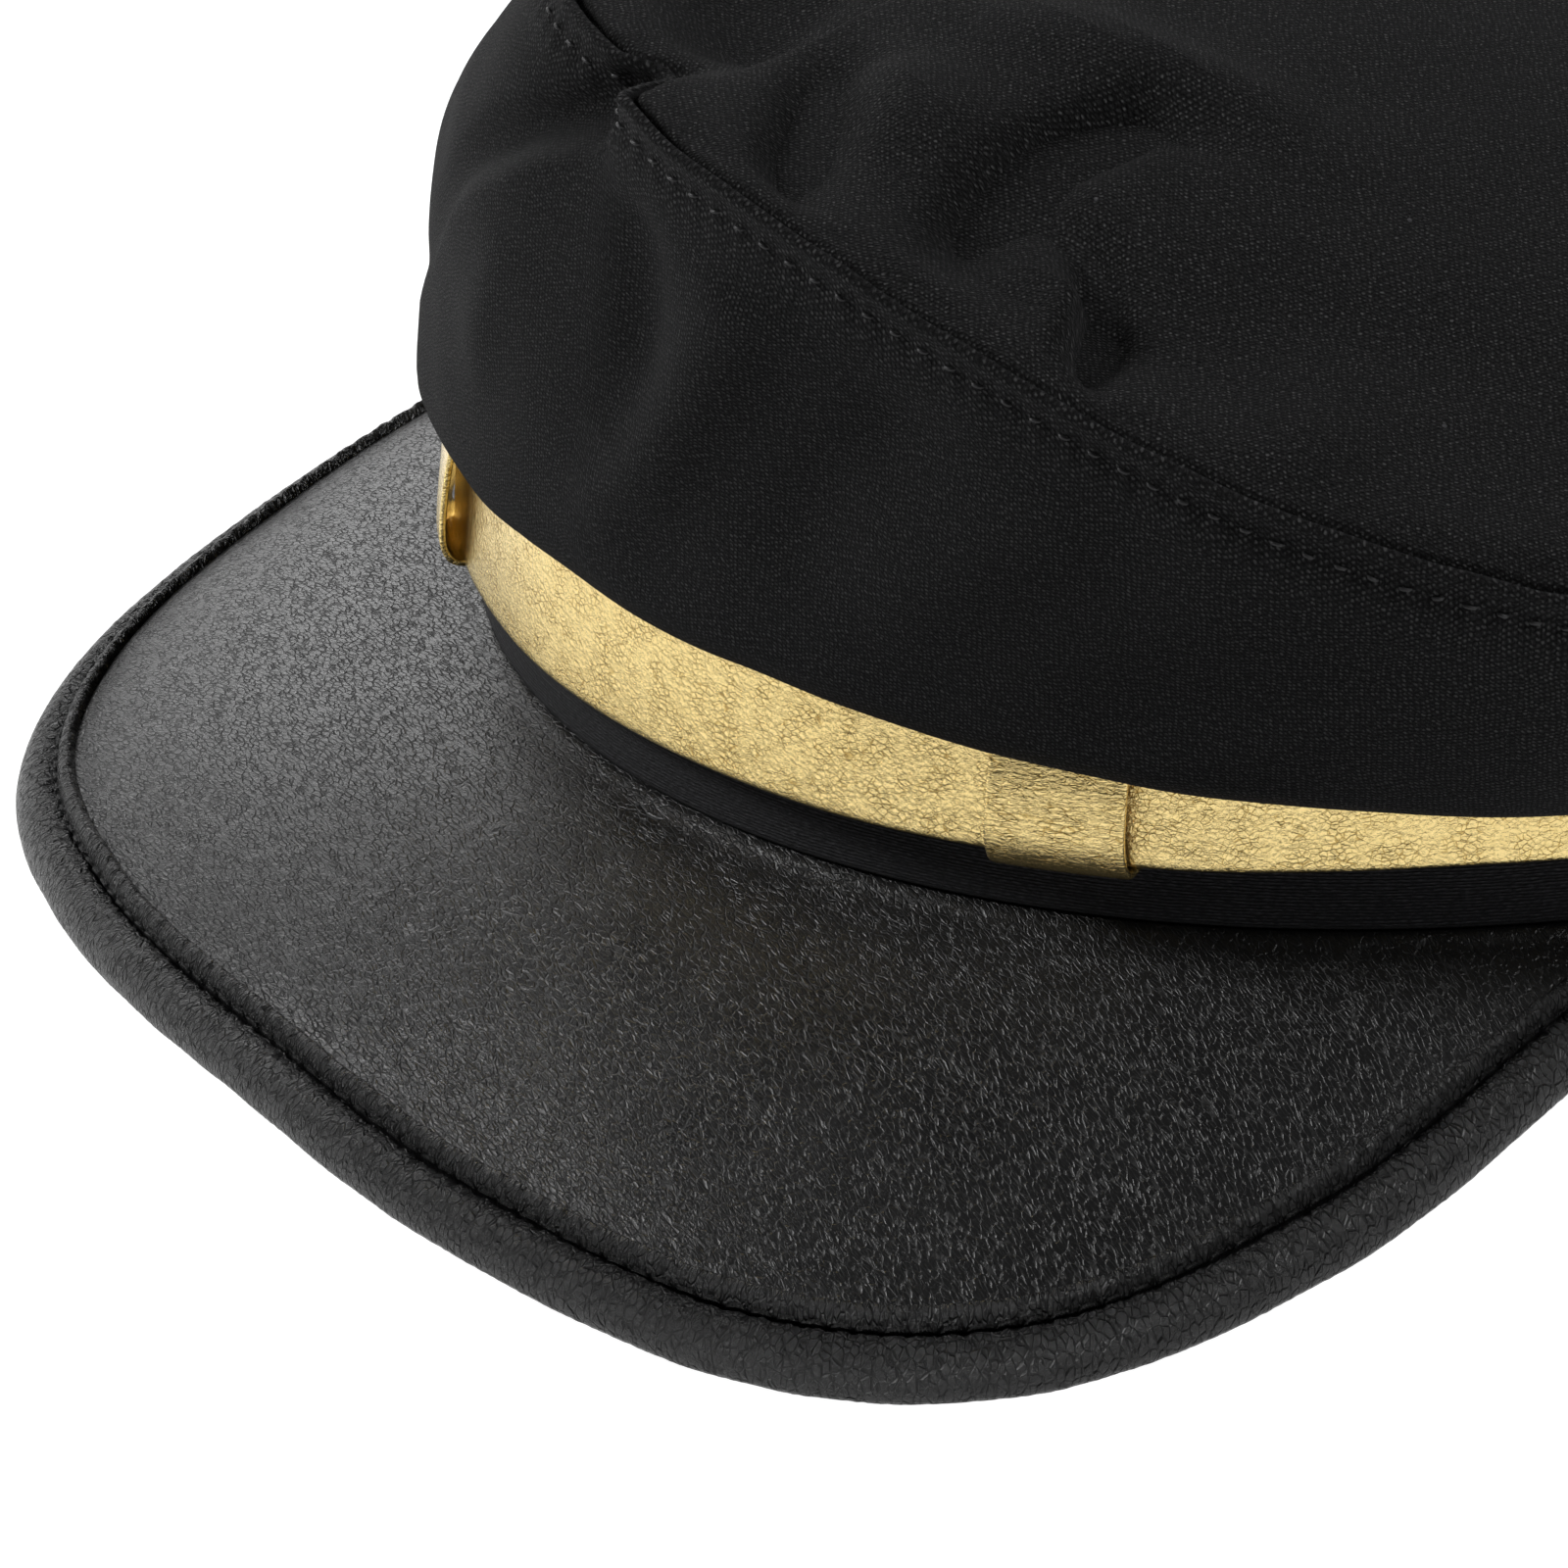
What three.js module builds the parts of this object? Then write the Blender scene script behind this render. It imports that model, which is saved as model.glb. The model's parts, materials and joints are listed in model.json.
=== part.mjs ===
// A soft captain hat: slouching knitted crown, ribbed head band, sloping leather visor and a gold strap.
// Millimetres, +Z up, the visor to the front along -Y. It rests on the visor's edge and the back of the band.
// Angles run in degrees round the head from the front, positive towards +X. "out" is measured outwards from
// the band's oval and "up" from the line where the visor meets the band.
import * as THREE from "three";

// Driving dimensions
const RAD = Math.PI / 180;
const GAP = 0.3;
const BAND = { halfLength: 104.5, halfWidth: 83.2, height: 18.6, wall: 2.4, lean: 0.13, sections: 60 };
const VISOR = {
  endAngle: 56.5,
  sections: 51,
  thick: 2.2,
  tongue: 1.2,
  slope: 23.8,
  slopeGain: 8.6,
  swell: 1.6,
  seat: 0.4,
  tuck: 1.9,
};
const BINDING = { width: 3.8, wall: 1 };
const PIPING = { radius: 0.85, sides: 6, short: 1 };
const STRAP = { low: 6.1, width: 12.5, thick: 1, endAngle: 66, sections: 37 };
const OVERLAY = { beyond: 1.6, dropStart: 32, dropEnd: 46, sections: 33 };
const KEEPER = {
  nearAngle: 26.8,
  farAngle: -18.1,
  width: 11.2,
  thick: 1,
  round: 0.4,
  clear: 0.12,
  sections: 5,
};
const BUTTON = { angle: 62, radius: 5, thick: 1.8, up: 11.6, sides: 20 };
const CROWN = {
  wall: 2,
  topWall: 1.8,
  seat: 18.9,
  tuckOut: 2.3,
  tuckUp: 20.4,
  tuckRound: 0.8,
  lip: 0.8,
  roll: 0.9,
  fullness: 0.75,
  bevel: 0.6,
};
const TOP = { centreBack: 6, centreUp: 53, puff: 5, roundness: 0.75 };
const FOLD = { seamAngle: 4, lowAngle: -21, lowShare: 0.22, lowSpread: 2.2, lowStrength: 0.4 };
const LOBE = { angle: -22, spread: 13, inwards: 1.5, fullShare: 0.5 };
const VALLEY = { x: 1, y: -97, drift: -0.28, length: 42, nearWidth: 5, farWidth: 13, depth: 6 };
const DIMPLE = { x: 40, y: -84, length: 15, width: 7, depth: 3.2, turn: 35 };

// How many degrees apart the crown's sections stand: closest at the fold's crest and on the slumped side
const SPACING = { plain: 6.4, closest: 1.2, crestAngle: 2, crestWidth: 5, slumpAngle: -10, slumpWidth: 17 };

// The visor's edge, as its distance from the head's centre at each angle from the front
const VISOR_EDGE = [
  { angle: 0, reach: 142.6 },
  { angle: 12, reach: 143.4 },
  { angle: 24, reach: 142.2 },
  { angle: 33, reach: 134.9 },
  { angle: 42, reach: 119.5 },
  { angle: 51, reach: 101.5 },
  { angle: 60, reach: 88.9 },
];

// The crown's side panel at each angle: its lowest roll, its widest bulge, and the seam with the top panel
const CROWN_ROWS = [
  { angle: 0, droop: 19.2, belly: 2.4, seamOut: -1, seamUp: 62.2 },
  { angle: 8, droop: 18.2, belly: 2.6, seamOut: 1.5, seamUp: 59.6 },
  { angle: 16, droop: 16.9, belly: 3.1, seamOut: 3, seamUp: 55.4 },
  { angle: 25, droop: 15, belly: 4.4, seamOut: 5, seamUp: 49 },
  { angle: 34, droop: 13.6, belly: 6.2, seamOut: 7, seamUp: 42 },
  { angle: 43, droop: 12.4, belly: 8, seamOut: 8.5, seamUp: 36.3 },
  { angle: 52, droop: 11.8, belly: 9.4, seamOut: 9.3, seamUp: 32 },
  { angle: 72, droop: 13, belly: 11, seamOut: 10.5, seamUp: 27.5 },
  { angle: 100, droop: 13, belly: 12, seamOut: 11, seamUp: 25 },
  { angle: 140, droop: 12.6, belly: 12, seamOut: 11, seamUp: 24.5 },
  { angle: 180, droop: 12.6, belly: 12, seamOut: 11, seamUp: 25.5 },
];

// The far half of the front has slumped: how far the seam lies in and up at each angle past the fold's crest
const SLUMP_ROWS = [
  { angle: 0, inwards: 0, up: 0 },
  { angle: 2.5, inwards: 7.4, up: -3.2 },
  { angle: 5, inwards: 5.2, up: -2.2 },
  { angle: 9, inwards: 6.2, up: 0.6 },
  { angle: 16, inwards: 10.2, up: 4.4 },
  { angle: 26, inwards: 15.4, up: 6.2 },
  { angle: 40, inwards: 13.4, up: 6 },
  { angle: 56, inwards: 8, up: 5 },
  { angle: 76, inwards: 4, up: 3 },
  { angle: 100, inwards: 0.6, up: 1 },
  { angle: 125, inwards: 0, up: 0 },
];

const mix = THREE.MathUtils.lerp;
const ease = THREE.MathUtils.smoothstep;

// A named column of a table of rows, read smoothly at an angle
function column(rows, name, angle) {
  const a = THREE.MathUtils.clamp(Math.abs(angle), 0, rows.at(-1).angle);
  let i = rows.findIndex((row) => row.angle >= a);
  i = Math.max(i, 1);
  const [p, q] = [rows[i - 1], rows[i]];
  const before = rows[i - 2] ?? { angle: -q.angle, [name]: q[name] };
  const after = rows[i + 1] ?? q;
  const span = q.angle - p.angle;
  const slopeIn = (q[name] - before[name]) / (q.angle - before.angle);
  const slopeOut = (after[name] - p[name]) / (after.angle - p.angle);
  const t = (a - p.angle) / span;
  const t2 = t * t;
  const t3 = t2 * t;
  return (2 * t3 - 3 * t2 + 1) * p[name] + (t3 - 2 * t2 + t) * span * slopeIn
    + (3 * t2 - 2 * t3) * q[name] + (t3 - t2) * span * slopeOut;
}

// The radius of the band's oval, and a point placed from it
function ovalRadius(angle) {
  return 1 / Math.hypot(Math.sin(angle * RAD) / BAND.halfWidth, Math.cos(angle * RAD) / BAND.halfLength);
}

function around(angle, radius, up) {
  return new THREE.Vector3(radius * Math.sin(angle * RAD), -radius * Math.cos(angle * RAD), up);
}

function place(angle, out, up) {
  return around(angle, ovalRadius(angle) + out, up);
}

// The band's outer face leans in a little towards its top
function bandFace(up) {
  return -BAND.lean * Math.max(up, 0);
}

function spread(from, to, count) {
  return Array.from({ length: count }, (_, i) => mix(from, to, i / (count - 1)));
}

// A closed surface from sections of equal length: a ring when closed, otherwise a bar with capped ends
function skin(sections, closed, cap = clipEars) {
  const size = sections[0].length;
  const points = sections.flat();
  const faces = [];
  const last = closed ? sections.length : sections.length - 1;
  for (let i = 0; i < last; i++) {
    for (let j = 0; j < size; j++) {
      const a = i * size + j;
      const b = i * size + ((j + 1) % size);
      const c = ((i + 1) % sections.length) * size + ((j + 1) % size);
      const d = ((i + 1) % sections.length) * size + j;
      faces.push([a, b, c], [a, c, d]);
    }
  }
  if (!closed) {
    for (const [start, flip] of [[0, true], [last * size, false]]) {
      for (const [a, b, c] of cap(sections[start / size])) {
        faces.push(flip ? [start + a, start + c, start + b] : [start + a, start + b, start + c]);
      }
    }
  }
  return solid(points, faces);
}

// The end cap of a section of any shape
function clipEars(ring) {
  return THREE.ShapeUtils.triangulateShape(projectSection(ring), []);
}

// The end cap of a flat section, whose second half runs back under its first
function rungs(ring) {
  const faces = [];
  for (let j = 0; j < ring.length / 2 - 1; j++) {
    const k = ring.length - 1 - j;
    faces.push([j, j + 1, k - 1], [j, k - 1, k]);
  }
  return faces;
}

// A section's own plane, as 2-D points for its end cap
function projectSection(ring) {
  const centre = ring.reduce((sum, p) => sum.add(p), new THREE.Vector3()).divideScalar(ring.length);
  const normal = new THREE.Vector3();
  ring.forEach((p, i) => {
    const q = ring[(i + 1) % ring.length];
    normal.add(p.clone().sub(centre).cross(q.clone().sub(centre)));
  });
  normal.normalize();
  const across = ring[0].clone().sub(centre).projectOnPlane(normal).normalize();
  const along = normal.clone().cross(across);
  return ring.map((p) => {
    const arm = p.clone().sub(centre);
    return new THREE.Vector2(arm.dot(across), arm.dot(along));
  });
}

// Turns points and faces into a geometry whose faces point outwards
function solid(points, faces) {
  let volume = 0;
  for (const [a, b, c] of faces) {
    volume += points[a].dot(points[b].clone().cross(points[c]));
  }
  const order = volume < 0 ? faces.map(([a, b, c]) => [a, c, b]) : faces;
  const geometry = new THREE.BufferGeometry().setFromPoints(points);
  geometry.setIndex(order.flat());
  geometry.computeVertexNormals();
  return geometry;
}

// Angles round the whole hat, closer together across the front fold
function hatAngles() {
  const angles = [];
  let angle = -180;
  while (angle < 180 - SPACING.closest) {
    angles.push(angle);
    const crest = Math.exp(-(((angle - SPACING.crestAngle) / SPACING.crestWidth) ** 2));
    const slump = Math.exp(-(((angle - SPACING.slumpAngle) / SPACING.slumpWidth) ** 4));
    angle += mix(SPACING.plain, SPACING.closest, Math.max(crest, 0.82 * slump));
  }
  return angles;
}

// How far past the fold's crest an angle lies. The crest runs down from the seam, away from it, and softens
function pastFold(angle, share) {
  const down = Math.min((1 - share) / (1 - FOLD.lowShare), 1);
  const past = mix(FOLD.seamAngle, FOLD.lowAngle, down) - angle;
  return Math.max(past, 0) / mix(1, FOLD.lowSpread, down);
}

function slumpIn(angle, share) {
  const strength = mix(share ** 3, share, FOLD.lowStrength);
  const near = Math.exp(-(((angle - LOBE.angle) / LOBE.spread) ** 2));
  const lobe = LOBE.inwards * near * ease(share, 0, LOBE.fullShare);
  return strength * column(SLUMP_ROWS, "inwards", pastFold(angle, share)) + lobe;
}

function seamPoint(angle) {
  const out = column(CROWN_ROWS, "seamOut", angle) - slumpIn(angle, 1);
  const up = column(CROWN_ROWS, "seamUp", angle) + column(SLUMP_ROWS, "up", pastFold(angle, 1));
  return { out, up };
}

// The side panel's outer face between its lowest roll (0) and the seam (1)
function sidePoint(angle, share) {
  const lowest = CROWN.tuckOut + CROWN.lip;
  const seamOut = column(CROWN_ROWS, "seamOut", angle);
  const bulge = column(CROWN_ROWS, "belly", angle) - mix(lowest, seamOut, 0.5);
  const roll = CROWN.roll * ease(share, 0, 0.07) * (1 - share);
  const out = mix(lowest, seamOut, share) + bulge * Math.sin(Math.PI * share ** CROWN.fullness) + roll;
  const up = mix(column(CROWN_ROWS, "droop", angle), seamPoint(angle).up, share);
  return { out: out - slumpIn(angle, share), up };
}

const SIDE_SHARES = [0, 0.035, 0.1, 0.2, 0.32, 0.45, 0.58, 0.7, 0.81, 0.91, 1];
const INNER_SHARES = [1, 0.81, 0.58, 0.35];

function crownSideSection(angle) {
  const droop = column(CROWN_ROWS, "droop", angle);
  const face = bandFace(BAND.height);
  const round = CROWN.tuckRound;
  const section = [
    place(angle, face - BAND.wall, CROWN.seat),
    place(angle, face - GAP, CROWN.seat),
    place(angle, face, CROWN.tuckUp),
    place(angle, CROWN.tuckOut - round / 2, CROWN.tuckUp),
    place(angle, CROWN.tuckOut, CROWN.tuckUp - round),
    place(angle, CROWN.tuckOut, Math.min(droop + 1.5 * round, CROWN.tuckUp - 1.25 * round)),
  ];
  for (const share of SIDE_SHARES) {
    const point = sidePoint(angle, share);
    section.push(place(angle, point.out, point.up));
  }
  for (const share of INNER_SHARES) {
    const point = sidePoint(angle, share);
    section.push(place(angle, point.out - CROWN.wall, point.up - CROWN.bevel));
  }
  section.push(place(angle, face - BAND.wall, CROWN.tuckUp + CROWN.wall));
  return section;
}

// The top panel's outer face, from the seam (0) to the middle of the crown (1)
function topPoint(angle, share) {
  const seam = seamPoint(angle);
  const rim = place(angle, seam.out, seam.up + GAP + CROWN.topWall);
  const centre = new THREE.Vector3(0, TOP.centreBack, TOP.centreUp);
  const point = rim.clone().lerp(centre, share);
  const rise = mix(share, Math.sin(share * Math.PI / 2), TOP.roundness);
  point.z = mix(rim.z, centre.z, rise) + TOP.puff * Math.sin(Math.PI * share) * ease(share, 0, 0.25);
  point.z -= (valleyDepth(point) + dimpleDepth(point)) * ease(share, 0.03, 0.15);
  return point;
}

// The crease that runs back over the top panel from the front fold, steeper on its near side
function valleyDepth(point) {
  const along = point.y - VALLEY.y;
  const across = point.x - VALLEY.x - VALLEY.drift * along;
  const width = across > 0 ? VALLEY.nearWidth : VALLEY.farWidth;
  const fade = ease(along, -12, 4) * (1 - ease(along, 0, VALLEY.length));
  return VALLEY.depth * fade * Math.exp(-((across / width) ** 2));
}

// The soft dimple beside the near seam
function dimpleDepth(point) {
  const turn = DIMPLE.turn * RAD;
  const [dx, dy] = [point.x - DIMPLE.x, point.y - DIMPLE.y];
  const along = dx * Math.cos(turn) + dy * Math.sin(turn);
  const across = dy * Math.cos(turn) - dx * Math.sin(turn);
  return DIMPLE.depth * Math.exp(-((along / DIMPLE.length) ** 2) - ((across / DIMPLE.width) ** 2));
}

const TOP_SHARES = [0, 0.05, 0.12, 0.2, 0.3, 0.42, 0.56, 0.72, 0.88];
const UNDER_SHARES = [0.03, 0.12, 0.3, 0.56, 0.88];

// The top panel as a closed dome: rings from its middle out to the seam, and back underneath
function crownTopGeometry(angles) {
  const rings = [
    ...TOP_SHARES.toReversed().map((share) => angles.map((angle) => topPoint(angle, share))),
    angles.map((angle) => {
      const seam = seamPoint(angle);
      return place(angle, seam.out, seam.up + GAP);
    }),
    ...UNDER_SHARES.map((share) => angles.map((angle) => {
      const point = topPoint(angle, share);
      point.z -= CROWN.topWall;
      return point;
    })),
  ];
  const count = angles.length;
  const points = rings.flat();
  const faces = [];
  for (let i = 0; i < rings.length - 1; i++) {
    for (let j = 0; j < count; j++) {
      const k = (j + 1) % count;
      faces.push([i * count + j, i * count + k, (i + 1) * count + k]);
      faces.push([i * count + j, (i + 1) * count + k, (i + 1) * count + j]);
    }
  }
  const above = topPoint(0, 1);
  const below = above.clone().setZ(above.z - CROWN.topWall);
  const poles = [points.push(above) - 1, points.push(below) - 1];
  for (let j = 0; j < count; j++) {
    const k = (j + 1) % count;
    const end = (rings.length - 1) * count;
    faces.push([poles[0], k, j], [poles[1], end + j, end + k]);
  }
  return solid(points, faces);
}

// The ribbed band that the head goes into
function bandSection(angle) {
  const rows = [0, BAND.height];
  const outer = rows.map((up) => place(angle, bandFace(up), up));
  const inner = rows.toReversed().map((up) => place(angle, bandFace(up) - BAND.wall, up));
  return [...outer, ...inner];
}

// The height of the visor's upper face above a point of the plan
function visorUp(x, y) {
  const angle = Math.atan2(x, -y) / RAD;
  const whole = Math.max(column(VISOR_EDGE, "reach", angle) - ovalRadius(angle), 1);
  const out = Math.max(Math.hypot(x, y) - ovalRadius(angle), 0);
  const slope = (VISOR.slope + VISOR.slopeGain * (angle * RAD) ** 2) * RAD;
  const share = Math.min(out / whole, 1);
  const swell = VISOR.swell * Math.sin(Math.PI * share) * ease(whole, 2, 30);
  return mix(-VISOR.seat, VISOR.thick / 2, share) + swell - out * Math.tan(slope);
}

// A point of the visor, so far inside its edge in plan and so far above its upper face
function visorPoint(angle, inside, above) {
  const edge = (a) => around(a, column(VISOR_EDGE, "reach", a), 0);
  const along = edge(angle + 0.2).sub(edge(angle - 0.2)).normalize();
  const point = edge(angle).add(new THREE.Vector3(-along.y, along.x, 0).multiplyScalar(inside));
  return point.setZ(visorUp(point.x, point.y) + above);
}

const VISOR_SHARES = [0, 0.07, 0.3, 0.53, 0.77, 1];

// The visor's board, from under the band out to a thinner tongue that its binding wraps
function visorSection(angle) {
  const start = place(angle, -VISOR.tuck, 0);
  const end = visorPoint(angle, BINDING.width + GAP, 0);
  const step = (VISOR.thick - VISOR.tongue) / 2;
  const top = VISOR_SHARES.map((share) => {
    const point = start.clone().lerp(end, share);
    return point.setZ(visorUp(point.x, point.y));
  });
  const under = top.toReversed().map((point) => point.clone().setZ(point.z - VISOR.thick));
  const tongue = (inside, above) => visorPoint(angle, inside, above);
  return [
    ...top,
    tongue(BINDING.width, -step),
    tongue(BINDING.wall + GAP, -step),
    tongue(BINDING.wall + GAP, step - VISOR.thick),
    tongue(BINDING.width, step - VISOR.thick),
    ...under,
  ];
}

// The binding's rolled outside, as shares of its width inward and of its half thickness up
const ROLL_ROWS = [
  { inside: 1, above: 0.96 },
  { inside: 0.5, above: 1.06 },
  { inside: 0.18, above: 0.72 },
  { inside: 0, above: 0 },
  { inside: 0.18, above: -0.72 },
  { inside: 0.5, above: -1.06 },
  { inside: 1, above: -0.96 },
];

// The leather rolled round the visor's edge, as a hook-shaped section
function bindingSection(angle) {
  const inner = VISOR.tongue / 2 + GAP;
  const outer = inner + BINDING.wall;
  const row = (inside, above) => visorPoint(angle, inside, above - VISOR.thick / 2);
  return [
    ...ROLL_ROWS.map(({ inside, above }) => row(inside * BINDING.width, above * outer)),
    row(BINDING.width, -inner),
    row(BINDING.wall, -inner),
    row(BINDING.wall * 0.8, 0),
    row(BINDING.wall, inner),
    row(BINDING.width, inner),
  ];
}

// The raised cord between the binding and the visor's face
function pipingSection(angle) {
  return Array.from({ length: PIPING.sides }, (_, i) => {
    const turn = i * 2 * Math.PI / PIPING.sides;
    const inside = BINDING.width + GAP + PIPING.radius * (1 + Math.cos(turn));
    return visorPoint(angle, inside, GAP + PIPING.radius * (1 + Math.sin(turn)));
  });
}

// A flat layer of the strap, laid on the band at a height above its face
function strapSection(angle, lift) {
  const low = STRAP.low;
  const high = STRAP.low + STRAP.width;
  return [
    place(angle, bandFace(low) + lift, low),
    place(angle, bandFace(low) + lift + STRAP.thick, low),
    place(angle, bandFace(high) + lift + STRAP.thick, high),
    place(angle, bandFace(high) + lift, high),
  ];
}

// A leather loop round both layers of the strap, with rounded edges
function keeperSection(angle) {
  const back = KEEPER.clear;
  const inner = GAP + 2 * (STRAP.thick + GAP);
  const outer = inner + KEEPER.thick;
  const [low, high] = [STRAP.low - GAP, STRAP.low + STRAP.width + GAP];
  const point = (up, out, beyond) => place(angle, bandFace(up) + out, up + beyond);
  return [
    point(low, back, KEEPER.round - KEEPER.thick),
    point(low, outer - KEEPER.round, -KEEPER.thick),
    point(low, outer, -KEEPER.round),
    point(high, outer, KEEPER.round),
    point(high, outer - KEEPER.round, KEEPER.thick),
    point(high, back, KEEPER.thick - KEEPER.round),
    point(high, back, 0),
    point(high, inner, 0),
    point(low, inner, 0),
    point(low, back, 0),
  ];
}

const leather = new THREE.MeshStandardMaterial({ color: 0x1b1b1c, roughness: 0.42, metalness: 0 });
const knit = new THREE.MeshStandardMaterial({ color: 0x161617, roughness: 0.9, metalness: 0 });
const ribbed = new THREE.MeshStandardMaterial({ color: 0x121213, roughness: 0.8, metalness: 0 });
const gold = new THREE.MeshStandardMaterial({ color: 0xc9a24a, roughness: 0.35, metalness: 0.8 });

const hat = new THREE.Group();

function add(name, geometry, material, parent = hat) {
  const mesh = new THREE.Mesh(geometry, material);
  mesh.name = name;
  parent.add(mesh);
  return mesh;
}

const angles = hatAngles();
add("crown_side", skin(angles.map(crownSideSection), true), knit);
add("crown_top", crownTopGeometry(angles), knit);
const bandAngles = spread(-180, 180, BAND.sections + 1).slice(0, -1);
add("head_band", skin(bandAngles.map(bandSection), true), ribbed);

const fan = spread(-VISOR.endAngle, VISOR.endAngle, VISOR.sections);
add("visor", skin(fan.map(visorSection), false, rungs), leather);
add("visor_binding", skin(fan.map(bindingSection), false), leather);
add("visor_piping", skin(fan.slice(PIPING.short, -PIPING.short).map(pipingSection), false), leather);

const layer = STRAP.thick + GAP;
const under = spread(-STRAP.endAngle, KEEPER.nearAngle + OVERLAY.beyond, STRAP.sections);
add("strap", skin(under.map((angle) => strapSection(angle, GAP)), false), gold);

// The strap's other half lies over the first from keeper to keeper, and drops to the band past its end
const over = spread(KEEPER.farAngle - OVERLAY.beyond, STRAP.endAngle, OVERLAY.sections);
const overLift = (angle) => GAP + layer * (1 - ease(angle, OVERLAY.dropStart, OVERLAY.dropEnd));
add("strap_overlay", skin(over.map((angle) => strapSection(angle, overLift(angle))), false), gold);

for (const [name, angle] of [["keeper_left", KEEPER.farAngle], ["keeper_right", KEEPER.nearAngle]]) {
  const half = KEEPER.width / 2 / ovalRadius(angle) / RAD;
  add(name, skin(spread(angle - half, angle + half, KEEPER.sections).map(keeperSection), false), gold);
}

// Plain round buttons over the strap's ends
for (const [name, sign] of [["side_button_left", -1], ["side_button_right", 1]]) {
  const angle = sign * BUTTON.angle;
  const face = bandFace(BUTTON.up) + GAP + layer;
  const profile = [
    new THREE.Vector2(0, 0),
    new THREE.Vector2(BUTTON.radius, 0),
    new THREE.Vector2(BUTTON.radius, BUTTON.thick * 0.5),
    new THREE.Vector2(BUTTON.radius * 0.8, BUTTON.thick * 0.9),
    new THREE.Vector2(0, BUTTON.thick),
  ];
  const button = add(name, new THREE.LatheGeometry(profile, BUTTON.sides), gold);
  const ahead = place(angle + 1, 0, 0).sub(place(angle - 1, 0, 0)).normalize();
  const outward = new THREE.Vector3(ahead.y, -ahead.x, BAND.lean).normalize();
  button.position.copy(place(angle, face, BUTTON.up)).addScaledVector(outward, GAP / 2);
  button.quaternion.setFromUnitVectors(new THREE.Vector3(0, 1, 0), outward);
}

// At rest the hat tips back until the visor's edge and the band's back edge touch the ground
function restTip(edge) {
  const heel = BAND.halfLength;
  const spots = edge.geometry.getAttribute("position");
  let tip = 0;
  for (let i = 0; i < spots.count; i++) {
    tip = Math.max(tip, Math.atan2(-spots.getZ(i), heel - spots.getY(i)));
  }
  return tip;
}

hat.rotation.x = -restTip(hat.getObjectByName("visor_binding"));
hat.updateMatrixWorld(true);
const box = new THREE.Box3().setFromObject(hat, true);
hat.position.set(-(box.min.x + box.max.x) / 2, -(box.min.y + box.max.y) / 2, -box.min.z);

const part = new THREE.Group();
part.add(hat);
export default part;
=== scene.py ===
# A soft black captain hat: knitted crown, ribbed band, leather visor and a gold strap
import json
import math

import bpy
import numpy as np
from mathutils import Matrix, Vector, noise


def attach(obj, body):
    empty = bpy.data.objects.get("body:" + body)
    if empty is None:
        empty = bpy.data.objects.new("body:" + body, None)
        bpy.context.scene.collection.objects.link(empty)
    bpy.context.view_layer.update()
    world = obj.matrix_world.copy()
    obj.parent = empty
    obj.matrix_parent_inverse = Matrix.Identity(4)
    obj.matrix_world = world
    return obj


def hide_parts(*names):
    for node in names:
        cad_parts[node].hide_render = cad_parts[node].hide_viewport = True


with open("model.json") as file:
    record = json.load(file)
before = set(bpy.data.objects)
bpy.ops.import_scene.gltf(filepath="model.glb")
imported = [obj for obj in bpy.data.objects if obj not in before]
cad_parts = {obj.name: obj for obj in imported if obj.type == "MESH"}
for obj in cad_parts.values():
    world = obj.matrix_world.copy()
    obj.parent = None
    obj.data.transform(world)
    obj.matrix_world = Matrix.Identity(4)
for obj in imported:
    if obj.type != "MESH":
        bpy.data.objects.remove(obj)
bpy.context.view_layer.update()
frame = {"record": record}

random = np.random.default_rng(11)

# Shapes are worked out in the hat's own frame, in mm: the band stands level on z = 0 and the visor points
# along -Y. Angles are degrees round the head from the front. "out" goes outwards from the band's oval.
band = {"halfLength": 104.5, "halfWidth": 83.2, "height": 18.6, "wall": 2.4, "lean": 0.13}
gap = 0.3  # between pieces that touch
seedStep = 7.31  # how far each seed moves the noise along

# The band rim's mount tells how the hat stands in the frame: its tip back and its shift
rimMount = next(m for m in frame["record"]["mounts"] if m["name"] == "band_rim")
rimBack = band["halfLength"] - band["wall"] / 2
tipSin, tipCos = -rimMount["axis"][1], -rimMount["axis"][2]
hatShift = np.array(rimMount["pos_m"]) * 1000 - np.array([0, tipCos * rimBack, -tipSin * rimBack])


def turnToFrame(v):
    x, y, z = np.moveaxis(np.asarray(v, float), -1, 0)
    return np.stack([x, tipCos * y + tipSin * z, tipCos * z - tipSin * y], -1)


def toFrame(points):
    return (turnToFrame(points) + hatShift) / 1000


def zerosOf(values):
    return np.zeros_like(values, float)


def mix(a, b, t):
    return a + (b - a) * t


def ease(x, start, end):
    t = np.clip((x - start) / (end - start), 0, 1)
    return t * t * (3 - 2 * t)


def hump(x, centre, width):
    return np.exp(-(((x - centre) / width) ** 2))


# A column of a table, read smoothly at an angle
def column(rows, name, angle):
    x, v = np.array(rows["angle"], float), np.array(rows[name], float)
    slope = np.zeros(len(x))
    slope[1:-1] = (v[2:] - v[:-2]) / (x[2:] - x[:-2])
    slope[-1] = (v[-1] - v[-2]) / (x[-1] - x[-2])
    a = np.clip(np.abs(angle), 0, x[-1])
    i = np.clip(np.searchsorted(x, a, side="right") - 1, 0, len(x) - 2)
    span = x[i + 1] - x[i]
    t = (a - x[i]) / span
    t2, t3 = t * t, t ** 3
    return ((2 * t3 - 3 * t2 + 1) * v[i] + (t3 - 2 * t2 + t) * span * slope[i]
            + (3 * t2 - 2 * t3) * v[i + 1] + (t3 - t2) * span * slope[i + 1])


def ovalRadius(angle):
    a = np.radians(angle)
    return 1 / np.hypot(np.sin(a) / band["halfWidth"], np.cos(a) / band["halfLength"])


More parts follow.
